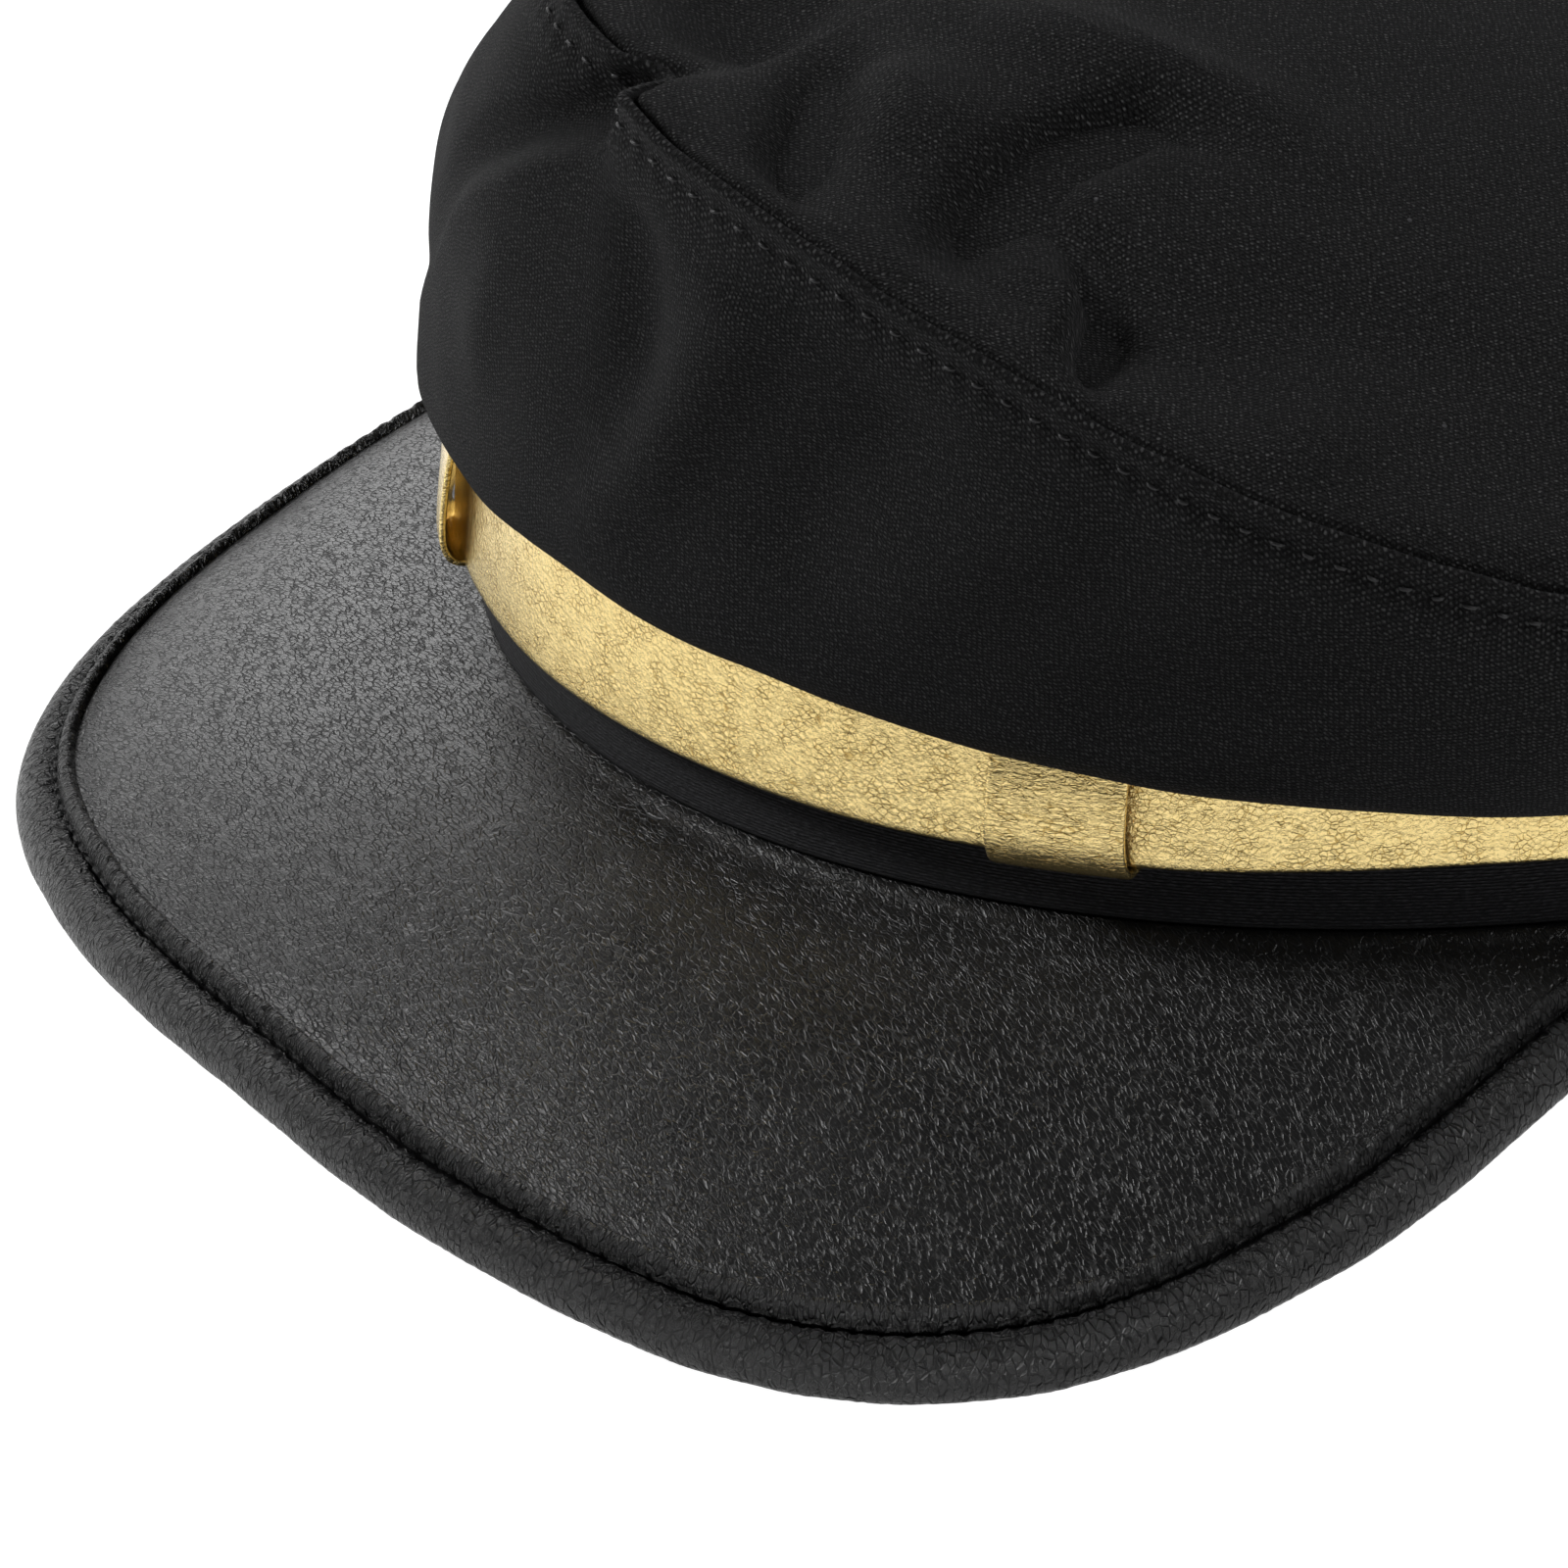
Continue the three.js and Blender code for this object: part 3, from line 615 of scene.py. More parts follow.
print("crown side")
hatAngles = np.linspace(-180, 180, crown["columns"] + 1)[:-1]
seamLine = place(hatAngles, seamOut(hatAngles), seamUp(hatAngles))
# gathers along the seam
seamWander = unevenness(seamLine, 7, 21) * 0.5 + unevenness(seamLine, 3.2, 22) * 0.12
seamRun = runLength(np.vstack([seamLine, seamLine[:1]]))
stitchCount = round(seamRun[-1] / crown["stitchPitch"])
stitchPhase = seamRun[:-1] / seamRun[-1] * stitchCount

clothSide, sideDistance = sideRows(hatAngles)
flatAcross = hatAngles[:, None] * crown["flatPerDegree"]
clothNormal = gridNormals(clothSide)
if (clothNormal[:, 20] * clothSide[:, 20])[:, :2].sum() < 0:  # they point outwards
    clothNormal = -clothNormal
foldTable = [dict(f, path=[(a * crown["flatPerDegree"], u) for a, u in f["path"]]) for f in sideFolds]
relief = folds(flatAcross, clothSide[..., 2], foldTable) * ease(sideDistance, 2, 9)
relief += unevenness(clothSide, 24, 1) * 0.55 + unevenness(clothSide, 9, 2) * 0.22
relief *= ease(sideDistance, 0, 8) * 0.8 + 0.2
relief += sewnEdge(sideDistance, stitchPhase[:, None])
sideOuter = clothSide + clothNormal * relief[..., None]
sideOuter[..., 2] += (crown["edgeRise"] + 0.6 * seamWander[:, None]) * (1 - ease(sideDistance, 0, 5))
sideOuter += clothNormal * (seamWander[:, None] * hump(sideDistance, 2.6, 1.8) * 0.5)[..., None]

face = bandFace(band["height"])
droop = column(crownRows, "droop", hatAngles)
zeros = 0 * hatAngles
tuckLow = np.minimum(droop + 1.5 * crown["tuckRound"], crown["tuckUp"] - 1.25 * crown["tuckRound"])
tuck = [
    place(hatAngles, zeros + crown["tuckOut"], tuckLow + 0.4),
    place(hatAngles, zeros + crown["tuckOut"], crown["tuckUp"] - crown["tuckRound"]),
    place(hatAngles, zeros + crown["tuckOut"] - crown["tuckRound"] / 2, crown["tuckUp"]),
    place(hatAngles, zeros + face, crown["tuckUp"]),
    place(hatAngles, zeros + face - gap, crown["seat"]),
    place(hatAngles, zeros + face - band["wall"], crown["seat"]),
]
inner = []
for share in (0.2, 0.27, 0.35, 0.46, 0.58, 0.7, 0.81, 0.91, 0.97, 1):
    outer = sidePoint(hatAngles, share)
    inward = place(hatAngles, zeros - crown["wall"], 0) - place(hatAngles, zeros, 0)
    point = outer + inward
    point[:, 2] -= crown["bevel"]
    if share < 0.3:
        point = place(hatAngles, zeros + face - band["wall"], crown["tuckUp"] + crown["wall"] * (share / 0.2))
    inner.append(point)
inner.append(place(hatAngles, seamOut(hatAngles) - 0.85, seamUp(hatAngles) + 0.1))
inner.append(place(hatAngles, seamOut(hatAngles) - 0.5, seamUp(hatAngles) + 0.8))
section = np.concatenate([sideOuter, np.stack(tuck, 1), np.stack(inner, 1)], axis=1)
sideUv = gridUv(section)
sideUv[:, : sideOuter.shape[1], 1] = sideDistance
crownSide = skin("crown_side_cloth", section, sideUv, sideKnit, ring=True)
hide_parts("crown_side")


# The top panel's face from the seam (share 0) to the middle of the crown (share 1)
def topPoint(angle, share):
    rim = place(angle, seamOut(angle), seamUp(angle) + gap + crown["topWall"])
    centre = np.array([0, top["centreBack"], top["centreUp"]])
    point = rim + (centre - rim) * share[..., None]
    rise = mix(share, np.sin(share * np.pi / 2), top["roundness"])
    z = mix(rim[..., 2], centre[2], rise) + top["puff"] * np.sin(np.pi * share) * ease(share, 0, 0.25)
    x, y = point[..., 0], point[..., 1]
    along = y - valley["y"]
    across = x - valley["x"] - valley["drift"] * along
    width = np.where(across > 0, valley["nearWidth"], valley["farWidth"])
    fade = ease(along, -12, 4) * (1 - ease(along, 0, valley["length"]))
    depth = valley["depth"] * fade * np.exp(-((across / width) ** 2))
    turn = math.radians(dimple["turn"])
    dx, dy = x - dimple["x"], y - dimple["y"]
    along = dx * math.cos(turn) + dy * math.sin(turn)
    across = dy * math.cos(turn) - dx * math.sin(turn)
    depth += dimple["depth"] * np.exp(-((along / dimple["length"]) ** 2) - ((across / dimple["width"]) ** 2))
    point[..., 2] = z - depth * ease(share, 0.03, 0.15)
    return point


print("crown top")
rimRadius = np.hypot(seamLine[:, 0], seamLine[:, 1] - top["centreBack"])[:, None]
nearRows = np.array(crown["seamRows"])[None, :]
nearShares = nearRows / rimRadius
restShares = np.linspace(0, 1, crown["topRows"] + 1)[1:-1] ** 0.9
lastNear = nearShares[:, -1:]
topShares = np.concatenate([nearShares, lastNear + (0.985 - lastNear) * restShares], axis=1)
topDistance = topShares * rimRadius
clothTop = topPoint(hatAngles[:, None], topShares)
topNormal = gridNormals(clothTop)
topNormal *= np.sign(topNormal[..., 2:])
relief = folds(clothTop[..., 0], clothTop[..., 1], topFolds) * ease(topDistance, 1.5, 7)
relief += seamWander[:, None] * 0.8 * hump(topDistance, 1.8, 1.6)
relief += (unevenness(clothTop, 26, 3) * 0.6 + unevenness(clothTop, 10, 4) * 0.25) * ease(topDistance, 0, 9)
dive = crown["dive"] * np.exp(-((topDistance / crown["diveWidth"]) ** 2))
relief -= dive + crown["dip"] * (1 - ease(topDistance, 0, crown["dipWidth"]))
topOuter = clothTop + topNormal * relief[..., None]
radial = place(hatAngles, zeros - 1, 0) - place(hatAngles, zeros, 0)
topOuter += (radial * crown["topInset"])[:, None, :] * (1 - ease(topDistance, 0, 5))[..., None]


# Terms of a shallow dish, fitted round the crown's middle so that all the sections meet smoothly
def dish(x, y):
    return np.stack([np.ones_like(x), x, y, x * x + y * y], -1)


fromMiddle = np.hypot(topOuter[..., 0], topOuter[..., 1] - top["centreBack"])
aroundMiddle = (fromMiddle > 10) & (fromMiddle < 20)
terms = dish(topOuter[..., 0], topOuter[..., 1])
fitted = np.linalg.lstsq(terms[aroundMiddle], topOuter[..., 2][aroundMiddle], rcond=None)[0]
topOuter[..., 2] = mix(terms @ fitted, topOuter[..., 2], ease(fromMiddle, 3, 16))
hem = [place(hatAngles, seamOut(hatAngles) - 1.9, seamUp(hatAngles) - 1.0)]
for share in (0.03, 0.07, 0.12, 0.2, 0.3, 0.42, 0.56, 0.72, 0.88):
    point = topPoint(hatAngles, zeros + share)
    point[:, 2] -= crown["topWall"]
    hem.append(point)
section = np.concatenate([topOuter[:, ::-1], np.stack(hem, 1)], axis=1)
topUv = section[..., :2].copy()
steps = np.diff(topOuter, axis=1)
extra = np.linalg.norm(steps, axis=2) - np.linalg.norm(steps[..., :2], axis=2)
extra = np.concatenate([np.cumsum(extra[:, ::-1], axis=1)[:, ::-1], np.zeros((len(hatAngles), 1))], axis=1)
topUv[:, : topOuter.shape[1]] += (radial[:, None, :2] * -extra[..., None])[:, ::-1]
middle = topOuter[:, -1].mean(0)
poles = [middle, middle - np.array([0, 0, crown["topWall"]])]
crownTop = skin("crown_top_cloth", section, topUv, topKnit, ring=True, closed=False, poles=poles)
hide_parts("crown_top")

print("seam stitches")
seamStitch = {
    "length": 1.15, "radius": 0.17, "dip": 0.3, "rings": 6, "sides": 6, "slant": 0.1, "wander": 0.12,
    "stand": 0.16,
}
stitchRuns = (np.arange(stitchCount) + 0.5) / stitchCount * seamRun[-1]
stitchAngles = np.interp(stitchRuns, seamRun, np.append(hatAngles, 180))


# Places along a grid of sections, at any angle and a row given as a fraction
def onGrid(points, angle, row):
    i = (angle + 180) / 360 * len(points)
    i0 = np.floor(i).astype(int)
    f = (i - i0)[:, None]
    j0 = np.floor(row).astype(int)
    g = row - j0

    def across(k):
        return points[k % len(points), j0] * (1 - g) + points[k % len(points), j0 + 1] * g
    return across(i0) * (1 - f) + across(i0 + 1) * f


grooveRow = np.interp(crown["grooveAt"], crown["seamRows"], np.arange(len(crown["seamRows"])))
centre = onGrid(sideOuter, stitchAngles, grooveRow)
ahead = onGrid(sideOuter, stitchAngles + 0.25, grooveRow) - onGrid(sideOuter, stitchAngles - 0.25, grooveRow)
ahead, normal = squareUp(ahead, onGrid(clothNormal, stitchAngles, grooveRow))
centre = centre + normal * seamStitch["stand"]
seamThread = stitchRow("crown_topstitch", centre, ahead, normal, seamStitch, thread)

print("band")
bandRows = {"faceRows": 26, "round": 0.5, "columns": 480}
bandAngles = np.linspace(-180, 180, bandRows["columns"] + 1)[:-1]
bandZeros = 0 * bandAngles
r = bandRows["round"]
outline = []
for up in np.linspace(r, band["height"] - r, bandRows["faceRows"]):
    outline.append((bandFace(up), up))
turns = np.linspace(0, math.pi, 9)[1:-1]
half = band["wall"] / 2
for turn in turns:
    rimOut = bandFace(band["height"]) - half + half * math.cos(turn)
    outline.append((rimOut, band["height"] - r + r * math.sin(turn)))
for up in np.linspace(band["height"] - r, r, 8):
    outline.append((bandFace(up) - band["wall"], up))
for turn in turns:
    outline.append((-half - half * math.cos(turn), r - r * math.sin(turn)))
section = np.stack([place(bandAngles, bandZeros + out, bandZeros + up) for out, up in outline], 1)
bandCloth = skin("head_band_cloth", section, gridUv(section), ribbed, ring=True)
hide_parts("head_band")

print("visor")
visor = {
    "endAngle": 56.5, "thick": 2.2, "slope": 23.8, "slopeGain": 8.6, "swell": 1.6,
    "seat": 0.4, "tuck": 1.9, "squeeze": 0.37,
    "columns": 520, "faceRows": 60, "underRows": 24,
}
edgeRows = {
    "angle": [0, 12, 24, 33, 42, 51, 60],
    "reach": [142.6, 143.4, 142.2, 134.9, 119.5, 101.5, 88.9],
}
binding = {"width": 3.8, "columns": 2200, "stitchPitch": 2.35, "endAngle": 59.6}


def visorUp(x, y):
    angle = np.degrees(np.arctan2(x, -y))
    whole = np.maximum(column(edgeRows, "reach", angle) - ovalRadius(angle), 1)
    out = np.maximum(np.hypot(x, y) - ovalRadius(angle), 0)
    slope = np.radians(visor["slope"] + visor["slopeGain"] * np.radians(angle) ** 2)
    share = np.minimum(out / whole, 1)
    swell = visor["swell"] * np.sin(np.pi * share) * ease(whole, 2, 30)
    return mix(-visor["seat"], visor["thick"] / 2, share) + swell - out * np.tan(slope)


# A point of the visor, so far inside its edge and so far above its upper face
def visorPoint(angle, inside, above):
    def edge(a):
        reach = column(edgeRows, "reach", a)
        return np.stack([reach * np.sin(np.radians(a)), -reach * np.cos(np.radians(a))], -1)
    along = edge(angle + 0.2) - edge(angle - 0.2)
    along /= np.linalg.norm(along, axis=-1, keepdims=True)
    plan = edge(angle) + np.stack([-along[..., 1], along[..., 0]], -1) * np.expand_dims(inside, -1)
    return np.concatenate([plan, (visorUp(plan[..., 0], plan[..., 1]) + above)[..., None]], -1)


# Angles along the visor at equal steps of its edge
def edgeAngles(count, end):
    fine = np.linspace(-end, end, 2400)
    run = runLength(visorPoint(fine, zerosOf(fine), 0))
    return np.interp(np.linspace(0, run[-1], count), run, fine), run[-1]


visorAngles, _ = edgeAngles(visor["columns"], visor["endAngle"])
flat = zerosOf(visorAngles)
start = place(visorAngles, flat - visor["tuck"], flat)[:, :2]
end = visorPoint(visorAngles, flat + binding["width"] + gap, 0)[:, :2]
shares = np.linspace(0, 1, visor["faceRows"])
plan = start[:, None] + (end - start)[:, None] * shares[None, :, None]
faceTop = np.concatenate([plan, visorUp(plan[..., 0], plan[..., 1])[..., None]], -1)
wave = unevenness(faceTop, 30, 5) * 0.35 + unevenness(faceTop, 8, 6) * 0.08
faceTop[..., 2] += wave * ease(shares, 0, 0.2) * (1 - ease(shares, 0.9, 1))
fromBand = np.hypot(faceTop[..., 0], faceTop[..., 1]) - ovalRadius(visorAngles)[:, None]
faceTop[..., 2] += visor["squeeze"] * (1 - ease(fromBand, 0, 1.6))  # pressed up against the band's edge
under = np.linspace(1, 0, visor["underRows"])
plan = start[:, None] + (end - start)[:, None] * under[None, :, None]
faceUnder = np.concatenate([plan, (visorUp(plan[..., 0], plan[..., 1]) - visor["thick"])[..., None]], -1)
section = np.concatenate([faceTop, faceUnder], 1)
visorFace = skin("visor_leather", section, section[..., :2].copy(), blackLeather)
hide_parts("visor")

print("visor edge")
edgeAt, edgeLength = edgeAngles(binding["columns"], binding["endAngle"])
edgeStitches = round(edgeLength / binding["stitchPitch"])
edgePhase = np.linspace(0, edgeStitches, binding["columns"])
pull = 0.5 + 0.5 * np.cos(2 * np.pi * edgePhase)  # 1 where the needle went through
bindingOutline = {  # from the stitched groove round the edge to the underside, and back inside
    "inside": [3.82, 3.78, 3.66, 3.36, 2.9, 2.4, 1.9, 1.45, 1.05, 0.7, 0.4, 0.17, 0.03, 0, 0.06,
               0.24, 0.55, 1.0, 1.6, 2.3, 3.0, 3.6, 4.0, 4.2, 4.15, 2.6, 1.2, 1.2, 2.6, 3.7],
    "above": [0.3, 0.66, 0.9, 1.16, 1.46, 1.72, 1.86, 1.86, 1.76, 1.55, 1.22, 0.8, 0.3, -0.2, -0.7,
              -1.15, -1.5, -1.74, -1.86, -1.9, -1.86, -1.72, -1.5, -1.25, -0.9, -0.9, -0.85, 0.8, 0.6, 0.4],
    "pinch": [0.05, 0.12, 0.2, 0.2, 0.15, 0.09, 0.05, 0.03, 0.02, 0, 0, 0, 0, 0, 0,
              0, 0.01, 0.02, 0.03, 0.05, 0.08, 0.1, 0.06, 0, 0, 0, 0, 0, 0, 0],
}
pipingOutline = {  # the narrow ridge between the face and the stitched groove
    "inside": [5.72, 5.55, 5.36, 5.12, 4.86, 4.6, 4.36, 4.16, 4.0, 3.91, 3.86, 3.9, 4.4, 5.0, 5.5],
    "above": [-0.2, 0.1, 0.5, 0.9, 1.14, 1.2, 1.14, 0.92, 0.58, 0.18, -0.2, -0.35, -0.35, -0.35, -0.35],
    "pinch": [0, 0, 0.04, 0.09, 0.13, 0.16, 0.16, 0.14, 0.1, 0.05, 0, 0, 0, 0, 0],
}
edgeCrinkle = {"scale": 0.6, "height": 0.16}  # short wrinkles across the ridge and the binding, mm


# A strip along the visor's edge, its outline pinched in where each stitch pulls
def edgeStrip(outline, lift, seed):
    rows = []
    edgeLine = visorPoint(edgeAt, zerosOf(edgeAt), 0)
    wander = unevenness(edgeLine, 6, seed)
    sharp = pull ** 2 * (1 + 0.5 * unevenness(edgeLine, 2.1, seed + 1))
    for inside, above, pinch in zip(outline["inside"], outline["above"], outline["pinch"]):
        shiftIn = wander * 0.06 + 0.25 * pinch * sharp
        rows.append(visorPoint(edgeAt, inside + shiftIn, above + lift - sharp * pinch + wander * 0.07))
    points = np.stack(rows, 1)
    crinkle = unevenness(points * [1, 1, 0.4], edgeCrinkle["scale"], seed + 2) * edgeCrinkle["height"]
    points[..., 2] += crinkle * np.array([0.4 + 3 * p for p in outline["pinch"]])[None, :]
    return points


section = edgeStrip(bindingOutline, -visor["thick"] / 2, 8)
bindingRoll = skin("visor_binding_leather", section, gridUv(section), blackEdge)
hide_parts("visor_binding")
section = edgeStrip(pipingOutline, 0, 9)
pipingRidge = skin("visor_piping_leather", section, gridUv(section), blackRidge)
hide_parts("visor_piping")

visorStitch = {
    "length": 1.7, "radius": 0.2, "dip": 0.3, "rings": 7, "sides": 7, "slant": 0.06, "wander": 0.05,
    "inside": 3.78, "above": 0.2,
}
threadAngles = np.interp(np.arange(edgeStitches) + 0.5, edgePhase, edgeAt)


def threadAt(shift):
    return visorPoint(threadAngles + shift, zerosOf(threadAngles) + visorStitch["inside"], visorStitch["above"])


ahead = threadAt(0.1) - threadAt(-0.1)
ahead, normal = squareUp(ahead, np.broadcast_to([0.0, 0.0, 1.0], ahead.shape))
stitchRow("visor_stitches", threadAt(0), ahead, normal, visorStitch, blackEdge)

print("strap")
strap = {
    "low": 6.1, "width": 12.5, "thick": 1, "endAngle": 66, "columns": 340,
    "beyond": 1.6, "dropStart": 32, "dropEnd": 46,  # degrees past a keeper, and where the outer layer drops
}
keeper = {
    "width": 11.2, "thick": 0.6,
    "nearAngle": 26.8, "nearBulge": 1.3, "nearRaised": 0.35,
    "farAngle": -18.1, "farBulge": 0.95, "farRaised": 0.75,
}


# A flat leather strap laid round the band, with soft edges and a slightly crowned face
def strapLayer(name, startAngle, endAngle, lift, seed):
    a = np.linspace(startAngle, endAngle, strap["columns"])
    low, high, t = strap["low"], strap["low"] + strap["width"], strap["thick"]
    rows = []
    across = np.concatenate([[0.0, 0.012, 0.03, 0.06], np.linspace(0.1, 0.9, 12), [0.94, 0.97, 0.988, 1.0]])
    for s in across:
        nearEdge = max(abs(2 * s - 1) - 0.9, 0)
        crowned = 0.16 * math.sin(math.pi * s) - 0.24 * (1 - math.sqrt(1 - nearEdge ** 2 * 99))
        rows.append((mix(low, high, s), t + crowned))
    for s in across[::-2]:
        rows.append((mix(low, high, s), 0.2 * max(abs(2 * s - 1) - 0.9, 0) * 10))
    points = np.stack([place(a, bandFace(up) + lift(a) + out, up + 0 * a) for up, out in rows], 1)
    outwards = place(a, 0 * a + 1, 0) - place(a, 0 * a, 0)
    points = points + outwards[:, None] * (unevenness(points, 14, seed) * 0.22)[..., None]
    return skin(name, points, gridUv(points), goldLeather)


layer = strap["thick"] + gap
strapUnder = strapLayer("strap_leather", -strap["endAngle"], keeper["nearAngle"] + strap["beyond"],
                        lambda a: gap + 0 * a, 12)
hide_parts("strap")
# the strap's other half lies over the first from keeper to keeper, and drops to the band past its end
overlay = strapLayer("strap_overlay_leather", keeper["farAngle"] - strap["beyond"], strap["endAngle"],
                     lambda a: gap + layer * (1 - ease(a, strap["dropStart"], strap["dropEnd"])), 13)
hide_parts("strap_overlay")


# A thin loop round both layers: a path round the strap as (up, out, share of the bulge), and a rounded cut
# across it as (along the strap, depth)
def keeperLoop(name, angle, bulge, openSide, raised, node):
    low, high = strap["low"] - gap + raised, strap["low"] + strap["width"] + gap
    inner = gap + 2 * layer
    mid = (low + high) / 2
    t = keeper["thick"]
    outer = inner + t
    path = np.array([
        (low + 0.5, 0.12, 0), (low, 0.3, 0), (low - 0.35, 0.9, 0), (low - 0.45, 1.6, 0), (low - 0.42, 2.3, 0.1),
        (low - 0.2, outer - 0.5, 0.2), (low + 0.5, outer - 0.1, 0.4), (low + 1.5, outer, 0.72),
        (low + 3, outer, 0.95), (low + 5, outer, 1), (high - 5.4, outer, 0.9), (high - 3.2, outer, 0.66),
        (high - 1.2, outer, 0.28), (high - 0.2, outer - 0.1, 0.06), (high + 0.25, outer - 0.45, 0),
        (high + 0.5, 2.0, 0), (high + 0.45, 1.2, 0), (high + 0.15, 0.5, 0), (high - 0.4, 0.14, 0),
    ])
    path[:, 2] **= mix(1, 0.7, openSide)
    run = runLength(path[:, :2])
    smooth = np.linspace(0, run[-1], 70)
    path = np.stack([np.interp(smooth, run, path[:, k]) for k in (0, 1, 2)], 1)
    for _ in range(6):
        path[1:-1] = path[1:-1] * 0.5 + (path[:-2] + path[2:]) * 0.25
    along = np.gradient(path[:, :2], axis=0)
    along /= np.linalg.norm(along, axis=1, keepdims=True)
    normal = np.stack([along[:, 1], -along[:, 0]], 1)
    half = keeper["width"] / 2
    flatRun = np.linspace(-half + 0.35, half - 0.35, 9)
    cross = [(-half + 0.1, 0.02)] + [(x, 0) for x in flatRun] + [(half - 0.1, 0.02), (half, 0.25 * t)]
    cross += [(half, 0.75 * t), (half - 0.12, t)] + [(-x, t) for x in flatRun]
    cross += [(-half + 0.12, t), (-half, 0.75 * t), (-half, 0.25 * t)]
    points = np.empty((len(path), len(cross), 3))
    for j, (x, depth) in enumerate(cross):
        spread = angle + np.degrees(x / (ovalRadius(angle) + inner))
        # past the overlay's end only one layer lies below
        tight = layer * (1 - ease(x / half, -1, -0.45)) * openSide
        stand = bulge * mix(1, ease(x / half, -0.8, 1), openSide) - tight
        up = path[:, 0] - normal[:, 0] * (t - depth)
        out = path[:, 1] + path[:, 2] * stand - normal[:, 1] * (t - depth)
        points[:, j] = place(zerosOf(up) + spread, bandFace(mid) + out - band["lean"] * (up - mid), up)
    loop = skin(name, points, gridUv(points)[..., ::-1].copy(), goldLoop)
    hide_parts(node)


keeperLoop("keeper_right_leather", keeper["nearAngle"], keeper["nearBulge"], 0, keeper["nearRaised"], "keeper_right")
keeperLoop("keeper_left_leather", keeper["farAngle"], keeper["farBulge"], 1, keeper["farRaised"], "keeper_left")

print("side buttons")
button = {
    "angle": 62, "up": 11.6, "sides": 56, "stand": 0.15,
    "radius": [0, 0.6, 1.4, 2.2, 3.0, 3.6, 3.95, 4.1, 4.3, 4.6, 4.85, 5, 5, 4.85, 4.2, 0],
    "height": [1.8, 1.78, 1.72, 1.6, 1.4, 1.16, 0.98, 0.95, 1.05, 1.08, 0.98, 0.75, 0.35, 0.1, 0.02, 0.02],
}
for node, side in (("side_button_left", -1), ("side_button_right", 1)):
    angle = np.array(side * button["angle"], float)
    base = place(angle, bandFace(button["up"]) + gap + layer + button["stand"], button["up"])
    ahead = place(angle + 1, 0, 0) - place(angle - 1, 0, 0)
    ahead /= np.linalg.norm(ahead)
    outward = np.array([ahead[1], -ahead[0], band["lean"]])
    outward /= np.linalg.norm(outward)
    upward = np.cross(ahead, outward)
    upward *= np.sign(upward[2])
    turns = np.arange(button["sides"]) * 2 * math.pi / button["sides"]
    ring = np.cos(turns)[:, None] * ahead + np.sin(turns)[:, None] * upward
    rims = list(zip(button["radius"], button["height"]))
    points = np.stack([base + ring * r + outward * h for r, h in rims[1:-1]], 1)
    ends = [base + outward * rims[0][1], base + outward * rims[-1][1]]
    disc = skin(node + "_metal", points, gridUv(points), goldLeather, ring=True, closed=False, poles=ends)
    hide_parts(node)

print("stage")
stage = {
    "floorHalf": 4, "floorGlow": 1.0,
    "horizon": 0.9, "overhead": 0.03, "brightSide": -50, "dimSide": 0.2,  # the sky, brightest at one azimuth
}
mesh = bpy.data.meshes.new("studio_floor")
f = stage["floorHalf"]
mesh.from_pydata([(-f, -f, 0), (f, -f, 0), (f, f, 0), (-f, f, 0)], [], [(0, 1, 2, 3)])
floor = bpy.data.objects.new("studio_floor", mesh)
bpy.context.scene.collection.objects.link(floor)
look, tree, shader = startFinish("pale_floor")
setAll(shader, {"Base Color": (0.2, 0.2, 0.2, 1), "Roughness": 0.9, "Emission Color": (1, 1, 1, 1),
                "Emission Strength": stage["floorGlow"]})
mesh.materials.append(look)

world = bpy.data.worlds.new("studio")
world.use_nodes = True
bpy.context.scene.world = world
# a pale sweep round the horizon that darkens overhead
tree = world.node_tree
direction = tree.nodes.new("ShaderNodeTexCoord")
split = tree.nodes.new("ShaderNodeSeparateXYZ")
tree.links.new(direction.outputs["Generated"], split.inputs[0])
sky = ramp(tree, split.outputs[2], [(0.04, (stage["horizon"],)), (0.24, (stage["overhead"],))])
tree.links.new(sky, tree.nodes["Background"].inputs["Color"])
facing = tree.nodes.new("ShaderNodeVectorMath")
facing.operation = "DOT_PRODUCT"
tree.links.new(direction.outputs["Generated"], facing.inputs[0])
a = math.radians(stage["brightSide"])
facing.inputs[1].default_value = (math.sin(a), -math.cos(a), 0)
glow = calc(tree, "POWER", calc(tree, "MAXIMUM", facing.outputs["Value"], 0), 4)
strength = add(tree, times(tree, glow, 1 - stage["dimSide"]), stage["dimSide"])
tree.links.new(strength, tree.nodes["Background"].inputs["Strength"])

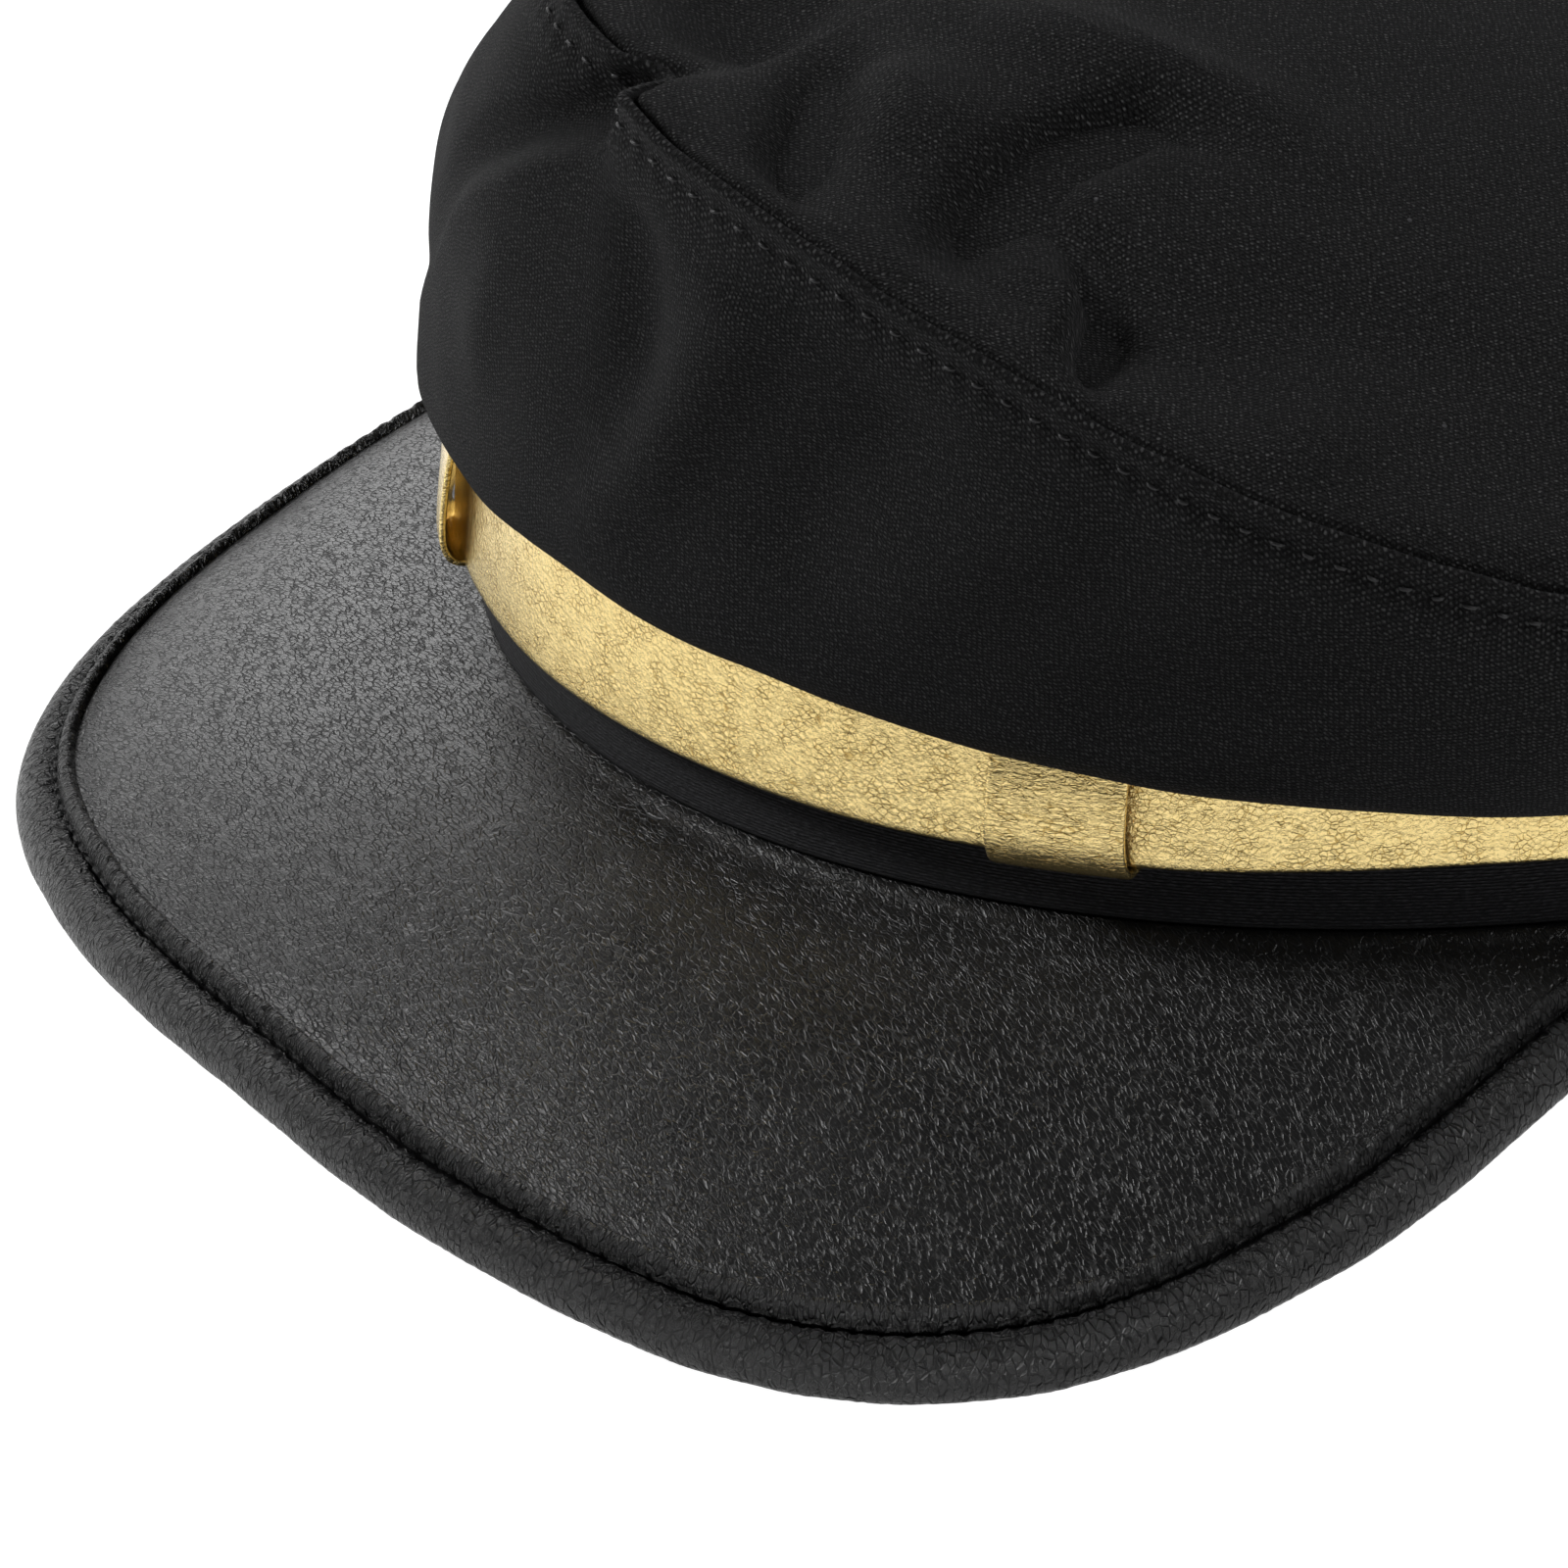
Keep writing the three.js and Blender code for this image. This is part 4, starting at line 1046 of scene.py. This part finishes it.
# Soft boxes, placed round the hat by azimuth and elevation from its front, in degrees
softBoxes = [
    {"name": "back_left", "azimuth": -102, "elevation": 19, "distance": 1.3, "size": 0.5, "watts": 4.2},
    {"name": "left", "azimuth": -42, "elevation": 40, "distance": 1.2, "size": 0.34, "watts": 12},
    {"name": "right_high", "azimuth": 125, "elevation": 42, "distance": 1.2, "size": 0.45, "watts": 8},
]
for box in softBoxes:
    light = bpy.data.lights.new(box["name"], "AREA")
    light.size = box["size"]
    light.energy = box["watts"]
    lamp = bpy.data.objects.new(box["name"], light)
    a, e = math.radians(box["azimuth"]), math.radians(box["elevation"])
    towards = Vector((math.sin(a) * math.cos(e), -math.cos(a) * math.cos(e), math.sin(e)))
    lamp.location = towards * box["distance"] + Vector((0, 0, 0.03))
    lamp.rotation_mode = "QUATERNION"
    lamp.rotation_quaternion = towards.to_track_quat("Z", "Y")
    bpy.context.scene.collection.objects.link(lamp)

# The camera at the photograph's angle, in degrees and mm in the hat's own frame
view = {
    "azimuth": 56.52, "elevation": 29.68, "roll": -2.0, "distance": 600, "lens": 166.2,
    "target": (12.66, -94.79, 0),
}
a, e, r = (math.radians(view[k]) for k in ("azimuth", "elevation", "roll"))
back = np.array([math.sin(a) * math.cos(e), -math.cos(a) * math.cos(e), math.sin(e)])
level = np.array([math.cos(a), math.sin(a), 0])
rise = np.cross(back, level)
right = level * math.cos(r) + rise * math.sin(r)
up = rise * math.cos(r) - level * math.sin(r)
cameraData = bpy.data.cameras.new("camera")
cameraData.lens = view["lens"]
cameraData.sensor_width = 36
cameraData.clip_start, cameraData.clip_end = 0.05, 20
camera = bpy.data.objects.new("camera", cameraData)
bpy.context.scene.collection.objects.link(camera)
axes = [turnToFrame(v) for v in (right, up, back)]
spot = toFrame(np.array(view["target"]) + view["distance"] * back)
rows = [[*(float(axis[k]) for axis in axes), float(spot[k])] for k in range(3)]
camera.matrix_world = Matrix(rows + [[0, 0, 0, 1]])
bpy.context.scene.camera = camera
bpy.context.scene.view_settings.view_transform = "Standard"

print("done")
